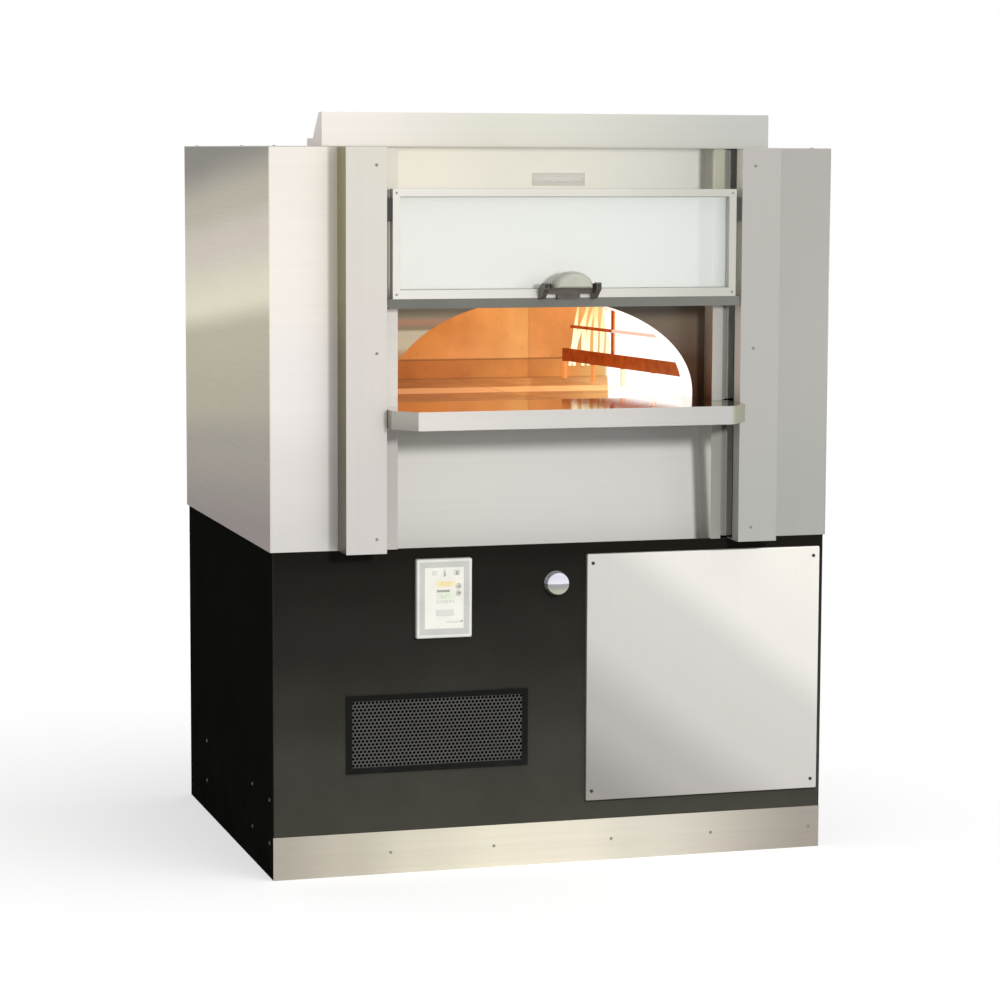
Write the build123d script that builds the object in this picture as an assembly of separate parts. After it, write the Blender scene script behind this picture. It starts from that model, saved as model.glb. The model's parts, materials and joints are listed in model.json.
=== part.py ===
from build123d import *

import math
import os

# A gas fired stone hearth pizza oven on a steel stand, with a glass door that slides down in front of
# its arch on two counterweighted cable loops. All sizes are millimetres. +X is the viewer's right, +Y is
# the back and +Z is up. The model is laid out from the front plane of the body, and every piece is
# then moved so that the origin is the centre of the footprint on the floor.

# Overall body and stand
body_width = 1372.0
body_depth = 1013.0
body_height = 929.0
stand_height = 769.0
stand_inset = 5.0
sheet = 2.0

# How far a cut runs on past the face that it opens
overrun = 1.0

# Front alcove between the two door posts
front_panel_width = 160.0
stile_width = 96.0
stile_reach = 82.0
stile_return = 41.0
facade_depth = 108.0
door_slot = 20.0
jamb_flange = 24.0
jamb_reach = 8.0

# Arch and cooking chamber
hearth_rise = 326.0
slab_thickness = 50.0
slab_margin = 15.0
slab_corner = 20.0
arch_side_gap = 50.0
arch_jamb = 17.0
arch_rise = 230.0
header_margin = 18.0
chamber_wall_height = 100.0
chamber_vault = 220.0
vault_lift_share = 0.3
vault_rise_share = 0.8
dome_wall = 75.0
blanket = 45.0
blanket_side_gap = 94.0
blanket_back_gap = 16.0

# Mantle shelf in front of the arch
mantle_reach = 177.0
mantle_corner = 49.0
mantle_corner_depth = 59.0
mantle_rise = 6.0
mantle_lip = 43.0
mantle_plate = 3.0
mantle_clearance = 1.0

# Apron below the mantle, leaning back towards its top
apron_top_setback = 152.0
apron_foot_setback = 105.0

# Vent collar on the roof
vent_side_gap = 138.0
vent_front = 60.0
vent_height = 78.0
vent_flange = 30.0
vent_slope_end = 151.0
vent_back = 209.0
vent_curb = 18.0
flue_width = 400.0
flue_length = 50.0
flue_front = 125.0
flue_wall = 6.0
flue_seat_gap = 33.0

# Stand
tube = 40.0
tube_wall = 3.0
foot_plate = 6.0
deck_drop = 34.0
deck_thickness = 3.0
kick_height = 101.0
access_left = 78.0
access_side_gap = 12.0
access_foot_gap = 47.5
access_top_gap = 27.0
access_overlap = 18.0
access_depth = 12.0
access_corner = 3.0
access_bend = 2.5
grille_side_gap = 174.0
grille_rise = 234.0
grille_width = 442.0
grille_height = 185.0
grille_border = 14.0
grille_columns = 18
grille_rows = 7
grille_hole_share = 0.66
side_slot_back_gap = 92.0
side_slot_drop = 345.0
side_slot_height = 105.0
side_slot_width = 12.0
louvre_count = 8
louvre_pitch = 30.0
louvre_length = 320.0
louvre_height = 9.0
louvre_top_gap = 130.0

# Controller and flame control
controller_side_gap = 407.0
controller_drop = 119.0
controller_width = 135.0
controller_height = 187.0
controller_depth = 14.0
controller_radius = 4.0
controller_bevel = 2.0
label_width = 94.0
label_height = 144.0
label_rise = 1.0
label_plate = 2.0
window_width = 44.0
window_height = 14.0
window_thickness = 1.2
window_shift = 4.0
window_high_share = 0.23
window_low_share = 0.03
key_diameter = 13.0
key_rise = 1.6
key_travel = 1.0
key_gap = 0.25
key_side_gap = 5.0
key_up_share = 0.19
key_down_share = 0.075
knob_x = 3.0
knob_drop = 94.0
knob_diameter = 58.0
knob_height = 26.0
knob_gap = 1.0
knob_taper_share = 0.94
knob_dome = 5.0
knob_edge = 5.0
knob_bore_share = 0.7
stem_diameter = 8.0
stem_end_gap = 2.0
valve_front = 30.0
valve_bore = 20.0
valve_size = 38.0
valve_length = 110.0
valve_neck = 18.0
valve_inlet_depth = 90.0
valve_corner = 6.0
running_fit = 0.05
panel_clearance = 0.5

# Gas and electricity
gas_side_gap = 381.0
gas_z = 180.0
gas_pipe_diameter = 26.7
gas_bore = 20.9
gas_nut = 41.0
gas_nut_length = 12.0
gas_inlet_length = 28.0
gas_bore_setback = 6.0
supply_share = 0.8
feed_diameter = 18.0
feed_setback = 160.0
feed_branch_drop = 145.0
gland_side_gap = 261.0
gland_z = 180.0
gland_bore = 20.0
gland_diameter = 30.0
gland_nut_length = 14.0
gland_nut_rim = 5.0
pipe_clearance = 1.0
elbow_share = 0.62

# Burners and thermocouple
burner_width = 36.0
burner_height = 32.0
burner_side_gap = 45.0
burner_front_gap = 55.0
burner_back_gap = 75.0
burner_port_width = 6.0
burner_port_margin = 20.0
guard_height = 79.0
guard_rail = 33.0
guard_thickness = 8.0
guard_post = 14.0
guard_posts = 5
guard_side_gap = 74.0
guard_front_gap = 5.0
guard_back_gap = 24.0
guard_angle = 9.0
floor_burner_width = 400.0
floor_burner_length = 380.0
floor_burner_height = 50.0
floor_burner_rim = 5.0
floor_burner_wall = 10.0
probe_diameter = 8.0
probe_gap = 0.25
probe_rise = 35.0
probe_reach = 40.0

# Door
door_side_gap = 14.0
door_top_gap = 96.0
door_height = 250.0
door_rail = 17.5
door_foot_rail = 20.0
door_bar_depth = 20.0
door_wall = 2.5
door_skirt = 6.0
glass_thickness = 4.0
glass_rim = 4.0
bottom_bar_height = 22.0
bottom_bar_overhang = 10.0
bottom_bar_depth = 28.0
door_set_back = 2.0

# Door handle
grip_width = 96.0
grip_height = 39.0
grip_depth = 46.0
grip_rise = 25.0
grip_sections = ((0, 0.88, 0.9), (0.35, 1, 1), (0.7, 0.96, 0.94), (0.92, 0.84, 0.78), (1, 0.7, 0.58))
grip_foot_share = 0.16
grip_lift_share = 0.35
arm_spacing = 126.0
arm_width = 12.0
arm_rise = 38.0
arm_reach = 46.0
arm_tip = 14.0
arm_foot_share = 0.66
arm_edge = 3.0
crossbar_foot = 11.0
crossbar_top = 35.0
crossbar_depth = 16.0
lug_width = 54.0
handle_drop = 2.0

# Counterweighted lift in each door post
cable_diameter = 4.0
cable_clearance = 0.3
loop_radius = 36.0
loop_top_gap = 53.0
loop_foot_gap = 206.0
loop_inset = 48.0
loop_front = -10.0
pulley_width = 14.0
pulley_flange = 4.0
pulley_hub = 18.0
pulley_lip = 1.0
pulley_floor_share = 0.7
hub_gap = 1.0
axle_diameter = 10.0
axle_tail = 2.0
rod_diameter = 12.0
rod_offset = 22.0
rod_clearance = 0.3
lift_plate = 4.0
lift_block = 12.0
lift_margin = 32.0
hanger_height = 54.0
hanger_drop = 20.0
hanger_setback = 4.0
hanger_thickness = 13.0
carriage_width = 57.0
carriage_depth = 28.0
carriage_margin = 10.0
weight_width = 60.0
weight_depth = 48.0
weight_height = 240.0
weight_gap = 14.0
weight_inset = 26.0
weight_corner = 4.0

# Worked-out places across and along the oven
body_half = body_width / 2
stand_half = body_half - stand_inset
stand_front = sheet
stand_back = body_depth - stand_inset
stile_outer = body_half - front_panel_width
alcove_half = stile_outer - stile_width
stile_front = -stile_reach
slot_front = stile_front + stile_return
facade_back = facade_depth + sheet
jamb_half = alcove_half - door_slot
flange_half = jamb_half - jamb_flange
arch_half_width = alcove_half - arch_side_gap
mantle_half = alcove_half - mantle_clearance
dome_front = facade_back
dome_back = body_depth - sheet - blanket_back_gap - blanket
dome_half = body_half - sheet - blanket_side_gap - blanket
chamber_half_width = dome_half - dome_wall
chamber_front = dome_front + dome_wall
chamber_back = dome_back - dome_wall
chamber_depth = chamber_back - chamber_front
slab_half = dome_half + slab_margin
slab_back = dome_back + slab_margin
burner_y = chamber_front + burner_front_gap
burner_length = chamber_depth - burner_front_gap - burner_back_gap
feed_x = chamber_half_width - burner_side_gap
feed_y = burner_y + feed_setback
access_right = stand_half - access_side_gap
grille_centre_x = -stand_half + grille_side_gap + grille_width / 2
controller_x = -stand_half + controller_side_gap
gas_x = stand_half - gas_side_gap
gas_run_y = valve_front + valve_inlet_depth
gas_start = body_depth - gas_inlet_length
gland_x = -stand_half + gland_side_gap
side_slot_y = stand_back - side_slot_back_gap
door_half = alcove_half - door_side_gap
door_front = stile_front + door_set_back
glass_front = door_front + door_bar_depth
cable_x = alcove_half + loop_inset
rod_x = cable_x + rod_offset
loop_back = loop_front + 2 * loop_radius
loop_mid = loop_front + loop_radius
centre_y = (body_depth - mantle_reach) / 2

# Worked-out heights
body_top = stand_height + body_height
deck_top = stand_height - deck_drop + deck_thickness
hearth_top = stand_height + hearth_rise
slab_foot = hearth_top - slab_thickness
mantle_top = hearth_top + mantle_rise
mantle_foot = mantle_top - mantle_lip
arch_spring = hearth_top + arch_jamb
header_foot = arch_spring + arch_rise + header_margin
dome_wall_top = hearth_top + chamber_wall_height
flue_seat = arch_spring + arch_rise + flue_seat_gap
access_bottom = kick_height + access_foot_gap
access_top = stand_height - access_top_gap
grille_centre_z = kick_height + grille_rise
side_slot_z = stand_height - side_slot_drop
louvre_z = stand_height - louvre_top_gap - louvre_height - (louvre_count - 1) * louvre_pitch
knob_z = stand_height - knob_drop
feed_branch_z = slab_foot - feed_branch_drop
floor_burner_top = slab_foot - tube - floor_burner_rim
floor_burner_bottom = floor_burner_top - floor_burner_height
guard_top = hearth_top + guard_height
probe_height = hearth_top + probe_rise
door_top = body_top - door_top_gap
door_foot = door_top - door_height
bottom_bar_foot = door_foot - bottom_bar_height
hanger_top = door_top - hanger_drop
loop_top = body_top - loop_top_gap
loop_bottom = stand_height + loop_foot_gap

# Worked-out places on the controller
controller_z = stand_height - controller_drop
controller_front = stand_front - controller_depth
label_z = controller_z + label_rise
key_x = controller_x + label_width / 2 - key_side_gap - key_diameter / 2
window_x = controller_x + window_shift
keys = {"key_up": label_z + key_up_share * label_height,
        "key_down": label_z + key_down_share * label_height}
windows = (label_z + window_high_share * label_height, label_z + window_low_share * label_height)


# Shapes used by many pieces

def block(x0, x1, y0, y1, z0, z1):
    """A rectangular solid between two corners."""
    middle = ((x0 + x1) / 2, (y0 + y1) / 2, (z0 + z1) / 2)
    return Pos(*middle) * Box(abs(x1 - x0), abs(y1 - y0), abs(z1 - z0))


def rod(x, y, z, diameter, length, axis):
    """A round bar that starts at the point and runs along +X, +Y or +Z."""
    bar = Cylinder(diameter / 2, length, align=(Align.CENTER, Align.CENTER, Align.MIN))
    turn = {"X": Rotation(0, 90, 0), "Y": Rotation(-90, 0, 0), "Z": Rotation(0, 0, 0)}[axis]
    return Pos(x, y, z) * turn * bar


def mitred(points, thickness):
    """The outline of a bent sheet: the points, then the same line set off to its left."""
    offset = []
    for i, (x, y) in enumerate(points):
        before = points[i - 1] if i > 0 else None
        after = points[i + 1] if i + 1 < len(points) else None
        normals = []
        for a, b in ((before, (x, y)), ((x, y), after)):
            if a is not None and b is not None:
                length = math.hypot(b[0] - a[0], b[1] - a[1])
                normals.append((-(b[1] - a[1]) / length, (b[0] - a[0]) / length))
        nx = sum(n[0] for n in normals)
        ny = sum(n[1] for n in normals)
        scale = thickness * len(normals) / (nx * nx + ny * ny)
        offset.append((x + nx * scale, y + ny * scale))
    return points + offset[::-1]


def run_x(outline, x0, x1):
    """An outline in Y and Z, run from x0 to x1."""
    return extrude(Plane.YZ.offset(x0) * outline, amount=x1 - x0, dir=(1, 0, 0))


def run_y(outline, y0, y1):
    """An outline in X and Z, run from y0 to y1."""
    return extrude(Plane.XZ.offset(-y0) * outline, amount=y1 - y0, dir=(0, 1, 0))


def run_z(outline, z0, z1):
    """An outline in X and Y, run from z0 to z1."""
    return extrude(Plane.XY.offset(z0) * outline, amount=z1 - z0, dir=(0, 0, 1))


def polygon(points):
    """An outline through the points."""
    return Polygon(*points, align=None)


def hollow_square():
    """The section of the square tube that the frames are welded from."""
    return Rectangle(tube, tube) - Rectangle(tube - 2 * tube_wall, tube - 2 * tube_wall)


def arched(half_width, foot, shoulder, rise):
    """An outline with a flat foot, upright jambs and half an ellipse on top."""
    jambs = Pos(0, foot) * Rectangle(2 * half_width, shoulder - foot, align=(Align.CENTER, Align.MIN))
    height = shoulder + rise - foot
    above_foot = Pos(0, foot) * Rectangle(2 * half_width, height, align=(Align.CENTER, Align.MIN))
    return jambs + (Pos(0, shoulder) * Ellipse(half_width, rise) & above_foot)


def vault(half_width, y0, y1, wall_top, rise):
    """A room with upright walls to wall_top and a vault that comes down on all four sides."""
    length = y1 - y0
    across = arched(half_width, hearth_top, wall_top, rise)
    along = arched(length / 2, hearth_top, wall_top + vault_lift_share * rise, vault_rise_share * rise)
    reach = half_width + overrun
    return run_y(across, y0, y1) & run_x(Pos((y0 + y1) / 2, 0) * along, -reach, reach)


def pipe(points, diameter):
    """A pipe run of straight lengths along the axes, with a round elbow at each corner."""
    run = None
    for start, end in zip(points, points[1:]):
        low = [min(a, b) for a, b in zip(start, end)]
        spans = [abs(b - a) for a, b in zip(start, end)]
        length = rod(*low, diameter, max(spans), "XYZ"[spans.index(max(spans))])
        run = length if run is None else run + length
    for corner in points[1:-1]:
        run = run + Pos(*corner) * Sphere(diameter * elbow_share)
    return run


def mirrored(piece):
    """The same piece for the other side of the oven."""
    return mirror(piece, about=Plane.YZ)


def write(name, *pieces):
    """Write one sub-part, moved so that the origin is the centre of the footprint."""
    moved = [Pos(0, -centre_y, 0) * piece for piece in pieces]
    export_step(moved[0] if len(moved) == 1 else Compound(children=moved), f"parts/{name}.step")


# Stand

def square_tube(x, y, z0, z1):
    """An upright square tube with its centre at x, y."""
    return run_z(Pos(x, y) * hollow_square(), z0, z1)


def stand_frame():
    """Four legs joined by rails at the top and near the floor."""
    leg_x = stand_half - sheet - tube / 2
    leg_y = (stand_front + sheet + tube / 2, stand_back - sheet - tube / 2)
    top = deck_top - deck_thickness
    frame = None
    for x in (-leg_x, leg_x):
        for y in leg_y:
            leg = square_tube(x, y, 0, top) + run_z(Pos(x, y) * Rectangle(tube, tube), 0, foot_plate)
            frame = leg if frame is None else frame + leg
    for z in (kick_height + tube / 2, top - tube / 2):
        for y in leg_y:
            frame += run_x(Pos(y, z) * hollow_square(), -leg_x + tube / 2, leg_x - tube / 2)
        for x in (-leg_x, leg_x):
            frame += run_y(Pos(x, z) * hollow_square(), leg_y[0] + tube / 2, leg_y[1] - tube / 2)
    return frame


def stand_deck():
    """The plate that carries the oven, with a hole for the burner feed."""
    half = stand_half - sheet
    deck = block(-half, half, stand_front + sheet, stand_back - sheet, deck_top - deck_thickness, deck_top)
    return deck - rod(knob_x, feed_y, 0, feed_diameter + 2 * pipe_clearance, body_top, "Z")


def stand_side():
    """The right side panel of the stand, with its upright vent slot."""
    side = block(stand_half - sheet, stand_half, stand_front, stand_back, 0, stand_height)
    slot = Pos(side_slot_y, side_slot_z) * SlotOverall(side_slot_height, side_slot_width, rotation=90)
    return side - run_x(slot, stand_half - 2 * sheet, stand_half + sheet)


def stand_back_panel():
    """The back panel with louvres and the holes for gas and electricity."""
    half = stand_half - sheet
    back = block(-half, half, stand_back - sheet, stand_back, 0, stand_height)
    for i in range(louvre_count):
        z = louvre_z + i * louvre_pitch
        back -= block(-louvre_length / 2, louvre_length / 2, stand_back - 2 * sheet, stand_back + sheet,
                      z, z + louvre_height)
    for x, z, size in ((gas_x, gas_z, gas_pipe_diameter), (gland_x, gland_z, gland_diameter)):
        back -= rod(x, stand_back - 2 * sheet, z, size, 4 * sheet, "Y")
    return back


def stand_front_panel():
    """The dark front panel, open behind the access cover and the grille."""
    half = stand_half - sheet
    front = block(-half, half, stand_front, stand_front + sheet, 0, stand_height)
    y0 = stand_front - sheet
    y1 = stand_front + 2 * sheet
    front -= block(access_left + access_overlap, access_right - access_overlap, y0, y1,
                   access_bottom + access_overlap, access_top - access_overlap)
    front -= block(grille_centre_x - grille_width / 2 + grille_border,
                   grille_centre_x + grille_width / 2 - grille_border, y0, y1,
                   grille_centre_z - grille_height / 2 + grille_border,
                   grille_centre_z + grille_height / 2 - grille_border)
    return front - rod(knob_x, y0, knob_z, stem_diameter + 2 * panel_clearance, y1 - y0, "Y")


def kick_plate():
    """The bright plate along the floor."""
    return block(-stand_half, stand_half, stand_front - sheet, stand_front, 0, kick_height)


def access_panel():
    """The bright cover of the service opening: a tray with its four sides folded back to the panel."""
    face = stand_front - access_depth
    cover = block(access_left, access_right, face, stand_front, access_bottom, access_top)
    cover = fillet(cover.edges().filter_by(Axis.Y), access_corner)
    cover = fillet(cover.faces().sort_by(Axis.Y)[0].edges(), access_bend)
    return cover - block(access_left + sheet, access_right - sheet, face + sheet, stand_front + overrun,
                         access_bottom + sheet, access_top - sheet)


def grille_frame():
    """The border of the intake grille."""
    ring = Rectangle(grille_width, grille_height)
    ring -= Rectangle(grille_width - 2 * grille_border, grille_height - 2 * grille_border)
    return run_y(Pos(grille_centre_x, grille_centre_z) * ring, stand_front - 2 * sheet, stand_front)


def grille_mesh():
    """The perforated sheet inside the border, as one holed face."""
    wide = grille_width - 2 * grille_border
    high = grille_height - 2 * grille_border
    pitch_x = wide / grille_columns
    pitch_z = high / grille_rows
    hole = min(pitch_x, pitch_z) * grille_hole_share
    holes = GridLocations(pitch_x, pitch_z, grille_columns, grille_rows) * Rectangle(hole, hole)
    face = Pos(grille_centre_x, grille_centre_z) * (Rectangle(wide, high) - holes)
    return run_y(face, stand_front - sheet, stand_front)


# Controller and flame knob

def controller_housing():
    """The raised box of the temperature controller, with a pocket for its face."""
    outline = RectangleRounded(controller_width, controller_height, controller_radius)
    box = run_y(Pos(controller_x, controller_z) * outline, controller_front, stand_front)
    front = box.faces().sort_by(Axis.Y)[0]
    box = chamfer(front.edges(), controller_bevel)
    box -= block(controller_x - label_width / 2, controller_x + label_width / 2, controller_front - overrun,
                 controller_front + label_plate, label_z - label_height / 2, label_z + label_height / 2)
    for z in keys.values():
        box -= rod(key_x, controller_front, z, key_diameter + 2 * key_gap,
                   label_plate + 2 * key_travel, "Y")
    return box


def controller_face():
    """The pale face plate, open at the two windows and the two keys."""
    face = block(controller_x - label_width / 2, controller_x + label_width / 2, controller_front,
                 controller_front + label_plate, label_z - label_height / 2, label_z + label_height / 2)
    for z in windows:
        face -= block(window_x - window_width / 2, window_x + window_width / 2, controller_front - overrun,
                      controller_front + window_thickness, z - window_height / 2, z + window_height / 2)
    for z in keys.values():
        face -= rod(key_x, controller_front - overrun, z, key_diameter + 2 * key_gap,
                    label_plate + 2 * overrun, "Y")
    return face


def display_windows():
    """The panes of the two display windows, let into the face."""
    return [block(window_x - window_width / 2, window_x + window_width / 2, controller_front,
                  controller_front + window_thickness, z - window_height / 2, z + window_height / 2)
            for z in windows]


def push_key(z):
    """A round push key that stands a little proud of the face."""
    key = rod(key_x, controller_front - key_rise, z, key_diameter,
              key_rise + label_plate + key_travel / 2, "Y")
    return fillet(key.faces().sort_by(Axis.Y)[0].edges(), key_rise / 3)


def flame_knob():
    """The round flame knob: a slightly tapered drum with a domed, rounded face, and a bore for the stem."""
    radius = knob_diameter / 2
    rim = radius * knob_taper_share
    dome = (rim ** 2 + knob_dome ** 2) / (2 * knob_dome)
    lean = math.asin(rim / dome) / 2
    crown = ThreePointArc((rim, knob_height - knob_dome),
                          (dome * math.sin(lean), knob_height - dome * (1 - math.cos(lean))),
                          (0, knob_height))
    side = Polyline((0, knob_height), (0, 0), (radius, 0), (rim, knob_height - knob_dome))
    body = revolve(make_face(crown + side), axis=Axis.Y)
    rims = body.edges().filter_by(lambda edge: edge.is_closed)
    body = fillet(rims.sort_by(Axis.Y)[-1], knob_edge)
    body -= rod(0, -overrun, 0, stem_diameter, knob_height * knob_bore_share + overrun, "Y")
    front = stand_front - knob_gap
    return Pos(knob_x, front, knob_z) * Rotation(180, 0, 0) * body


def valve_stem():
    """The stem that the knob is pressed on."""
    start = stand_front - knob_gap - knob_height * knob_bore_share
    return rod(knob_x, start, knob_z, stem_diameter, valve_front + valve_bore - stem_end_gap - start, "Y")


def gas_valve():
    """The flame valve, with its threaded neck against the back of the front panel."""
    half = valve_size / 2
    body = block(knob_x - half, knob_x + half, valve_front, valve_front + valve_length,
                 knob_z - half, knob_z + half)
    body = fillet(body.edges().filter_by(Axis.Y), valve_corner)
    panel_back = stand_front + sheet
    body += rod(knob_x, panel_back, knob_z, valve_neck, valve_front - panel_back + overrun, "Y")
    return body - rod(knob_x, panel_back - overrun, knob_z, stem_diameter + 2 * running_fit,
                      valve_front + valve_bore - panel_back + overrun, "Y")


# Gas and electrical connections at the back

def gas_inlet():
    """The gas union in the back panel: a hexagon, and a tail that passes the panel."""
    tail = rod(gas_x, gas_start, gas_z, gas_pipe_diameter, gas_inlet_length, "Y")
    nut = run_y(Pos(gas_x, gas_z) * RegularPolygon(gas_nut / 2, 6), gas_start, gas_start + gas_nut_length)
    return tail + nut - rod(gas_x, gas_start + gas_bore_setback, gas_z, gas_bore, gas_inlet_length, "Y")


def gas_pipes():
    """The supply from the union to the valve, and the feed from the valve to both burners."""
    supply = pipe([(gas_x, gas_start, gas_z), (gas_x, gas_run_y, gas_z), (knob_x, gas_run_y, gas_z),
                   (knob_x, gas_run_y, knob_z - valve_size / 2)], gas_pipe_diameter * supply_share)
    feed = pipe([(knob_x, valve_front + valve_length, knob_z), (knob_x, feed_y, knob_z),
                 (knob_x, feed_y, floor_burner_bottom)], feed_diameter)
    branch = pipe([(knob_x, feed_y, feed_branch_z), (feed_x, feed_y, feed_branch_z),
                   (feed_x, feed_y, hearth_top)], feed_diameter)
    return [supply, feed + branch]


def cable_gland():
    """The bushed knockout for the electrical supply."""
    start = stand_back - sheet - gland_nut_length
    body = rod(gland_x, start, gland_z, gland_diameter, body_depth - start, "Y")
    body += rod(gland_x, start, gland_z, gland_diameter + 2 * gland_nut_rim, gland_nut_length, "Y")
    length = body_depth - start + 2 * overrun
    return body - rod(gland_x, start - overrun, gland_z, gland_bore, length, "Y")


# Cooking chamber

def body_frame():
    """The welded frame that carries the hearth on the stand, with a shelf under the body panels."""
    post_x = slab_half - tube
    post_y = (apron_top_setback + 2 * tube, slab_back - tube)
    frame = None
    for x in (-post_x, post_x):
        for y in post_y:
            post = square_tube(x, y, deck_top, slab_foot)
            frame = post if frame is None else frame + post
    for y in post_y:
        frame += run_x(Pos(y, slab_foot - tube / 2) * hollow_square(), -post_x + tube / 2,
                       post_x - tube / 2)
    for x in (-post_x, -floor_burner_width / 4, floor_burner_width / 4, post_x):
        frame += run_y(Pos(x, slab_foot - tube / 2) * hollow_square(), post_y[0] + tube / 2,
                       post_y[1] - tube / 2)
    inner = post_x - tube / 2
    outer = body_half - sheet
    for side in (-1, 1):
        frame += block(side * inner, side * outer, post_y[0] - tube / 2, body_depth - sheet,
                       stand_height, stand_height + deck_thickness)
    frame += block(-outer, outer, post_y[1] - tube / 2, body_depth - sheet,
                   stand_height, stand_height + deck_thickness)
    return frame


def hearth_slab():
    """The ceramic hearth, with a hole for the burner feed."""
    slab = block(-slab_half, slab_half, facade_back, slab_back, slab_foot, hearth_top)
    slab = fillet(slab.edges().filter_by(Axis.Z), slab_corner)
    return slab - rod(feed_x, feed_y, slab_foot - overrun, feed_diameter + 2 * pipe_clearance,
                      slab_thickness + 2 * overrun, "Z")


def arch_tool(y0, y1):
    """The solid of air through the arch: straight jambs under half an ellipse."""
    outline = arched(arch_half_width, 0, arch_spring, arch_rise)
    return run_y(outline, y0, y1)


def flue_block(grow, z0):
    """The space of the flue, grown on all four sides."""
    return block(-flue_width / 2 - grow, flue_width / 2 + grow, flue_front - grow,
                 flue_front + flue_length + grow, z0, body_top + vent_curb)


def dome_outside():
    """The outer form of the refractory dome, with a thick ring round the arch that carries the flue."""
    whole = vault(dome_half, dome_front, dome_back, dome_wall_top, chamber_vault + dome_wall)
    ring = arched(arch_half_width + dome_wall, hearth_top, arch_spring, arch_rise + dome_wall)
    return whole + run_y(ring, dome_front, chamber_front + dome_wall / 2)


def refractory_dome():
    """The cast dome: a vaulted room on the hearth, with the arch and the flue let through its front."""
    room = vault(chamber_half_width, chamber_front, chamber_back, dome_wall_top, chamber_vault)
    dome = dome_outside() - room - arch_tool(dome_front - overrun, chamber_front + chamber_depth / 4)
    return dome - flue_block(flue_wall, flue_seat) - flue_block(0, arch_spring)


def insulation_blanket():
    """The ceramic wool laid over the dome."""
    whole = vault(dome_half + blanket, dome_front - blanket, dome_back + blanket, dome_wall_top + blanket,
                  chamber_vault + dome_wall)
    whole &= block(-body_half, body_half, dome_front, body_depth, 0, body_top)
    return whole - dome_outside() - flue_block(flue_wall, arch_spring) - arch_tool(0, chamber_front)


def flame_burner():
    """The ribbon burner along the right wall, with a row of ports."""
    x0 = feed_x - burner_width / 2
    body = block(x0, x0 + burner_width, burner_y, burner_y + burner_length,
                 hearth_top, hearth_top + burner_height)
    body = chamfer(body.edges().filter_by(Axis.Y).group_by(Axis.Z)[-1], burner_height / 4)
    slot = block(feed_x - burner_port_width / 2, feed_x + burner_port_width / 2,
                 burner_y + burner_port_margin, burner_y + burner_length - burner_port_margin,
                 hearth_top + burner_height / 2, hearth_top + burner_height + overrun)
    return body - slot


def flame_guard():
    """The low rail in front of the flames, on posts, turned to run from the arch to the back."""
    start = chamber_front + guard_front_gap
    length = (chamber_back - guard_back_gap - start) / math.cos(math.radians(guard_angle))
    half = guard_thickness / 2
    rail = block(-half, half, 0, length, guard_top - guard_rail, guard_top)
    pitch = (length - guard_post) / (guard_posts - 1)
    for i in range(guard_posts):
        rail += block(-half, half, i * pitch, i * pitch + guard_post, hearth_top, guard_top - guard_rail)
    return Pos(chamber_half_width - guard_side_gap, start, 0) * Rotation(0, 0, guard_angle) * rail


def underfloor_burner():
    """The radiant tray burner that heats the hearth from below, held under the frame by its rim."""
    y0 = chamber_front + chamber_depth / 2 - floor_burner_length / 2
    half = floor_burner_width / 2
    inner = half - floor_burner_wall
    body = block(-half, half, y0, y0 + floor_burner_length, floor_burner_bottom, slab_foot - tube)
    return body - block(-inner, inner, y0 + floor_burner_wall, y0 + floor_burner_length - floor_burner_wall,
                        floor_burner_top, slab_foot)


def thermocouple():
    """The probe through the left wall of the dome."""
    start = -(dome_half + blanket + probe_reach)
    end = -(chamber_half_width - probe_reach)
    y = chamber_front + chamber_depth / 3
    head = rod(start, y, probe_height, 4 * probe_diameter, probe_reach, "X")
    return head + rod(start, y, probe_height, probe_diameter, end - start, "X")


def probe_hole():
    """The way for the probe through dome and blanket."""
    y = chamber_front + chamber_depth / 3
    return rod(-body_half, y, probe_height, probe_diameter + 2 * probe_gap, body_half, "X")


# Body panels

def body_side():
    """The right side panel of the body."""
    return block(body_half - sheet, body_half, 0, body_depth, stand_height, body_top - sheet)


def body_back_panel():
    """The back panel of the body."""
    half = body_half - sheet
    return block(-half, half, body_depth - sheet, body_depth, stand_height, body_top - sheet)


def body_top_panel():
    """The roof, stepped out over the door posts, with the slot for the flue."""
    outline = [(-body_half, 0), (-stile_outer, 0), (-stile_outer, stile_front), (stile_outer, stile_front),
               (stile_outer, 0), (body_half, 0), (body_half, body_depth), (-body_half, body_depth)]
    roof = run_z(polygon(outline), body_top - sheet, body_top)
    return roof - flue_block(flue_wall + panel_clearance, body_top - 2 * sheet)


def front_panel():
    """The right front panel, between the side and the door post."""
    return block(stile_outer - sheet, body_half - sheet, 0, sheet, stand_height, body_top - sheet)


def stile():
    """The right door post: a bent sheet with a narrow return into the alcove, closed at its foot."""
    line = [(alcove_half, slot_front), (alcove_half, stile_front),
            (stile_outer, stile_front), (stile_outer, 0)]
    post = run_z(polygon(mitred(line, sheet)), stand_height, body_top - sheet)
    foot = block(alcove_half + sheet, stile_outer - sheet, stile_front + sheet, 0,
                 stand_height, stand_height + sheet)
    return post + foot


def alcove_sheet(z0, z1):
    """The back of the alcove with its two side walls, each with a flange turned in at its front."""
    line = [(-flange_half, -jamb_reach), (-jamb_half, -jamb_reach), (-jamb_half, facade_depth),
            (jamb_half, facade_depth), (jamb_half, -jamb_reach), (flange_half, -jamb_reach)]
    return run_z(polygon(mitred(line, sheet)), z0, z1)


def header_panel():
    """The upper part of the alcove, behind the open door."""
    return alcove_sheet(header_foot, body_top - sheet)


def arch_facade():
    """The face plate around the arch."""
    return alcove_sheet(mantle_top, header_foot) - arch_tool(facade_depth - overrun, facade_back + overrun)


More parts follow.
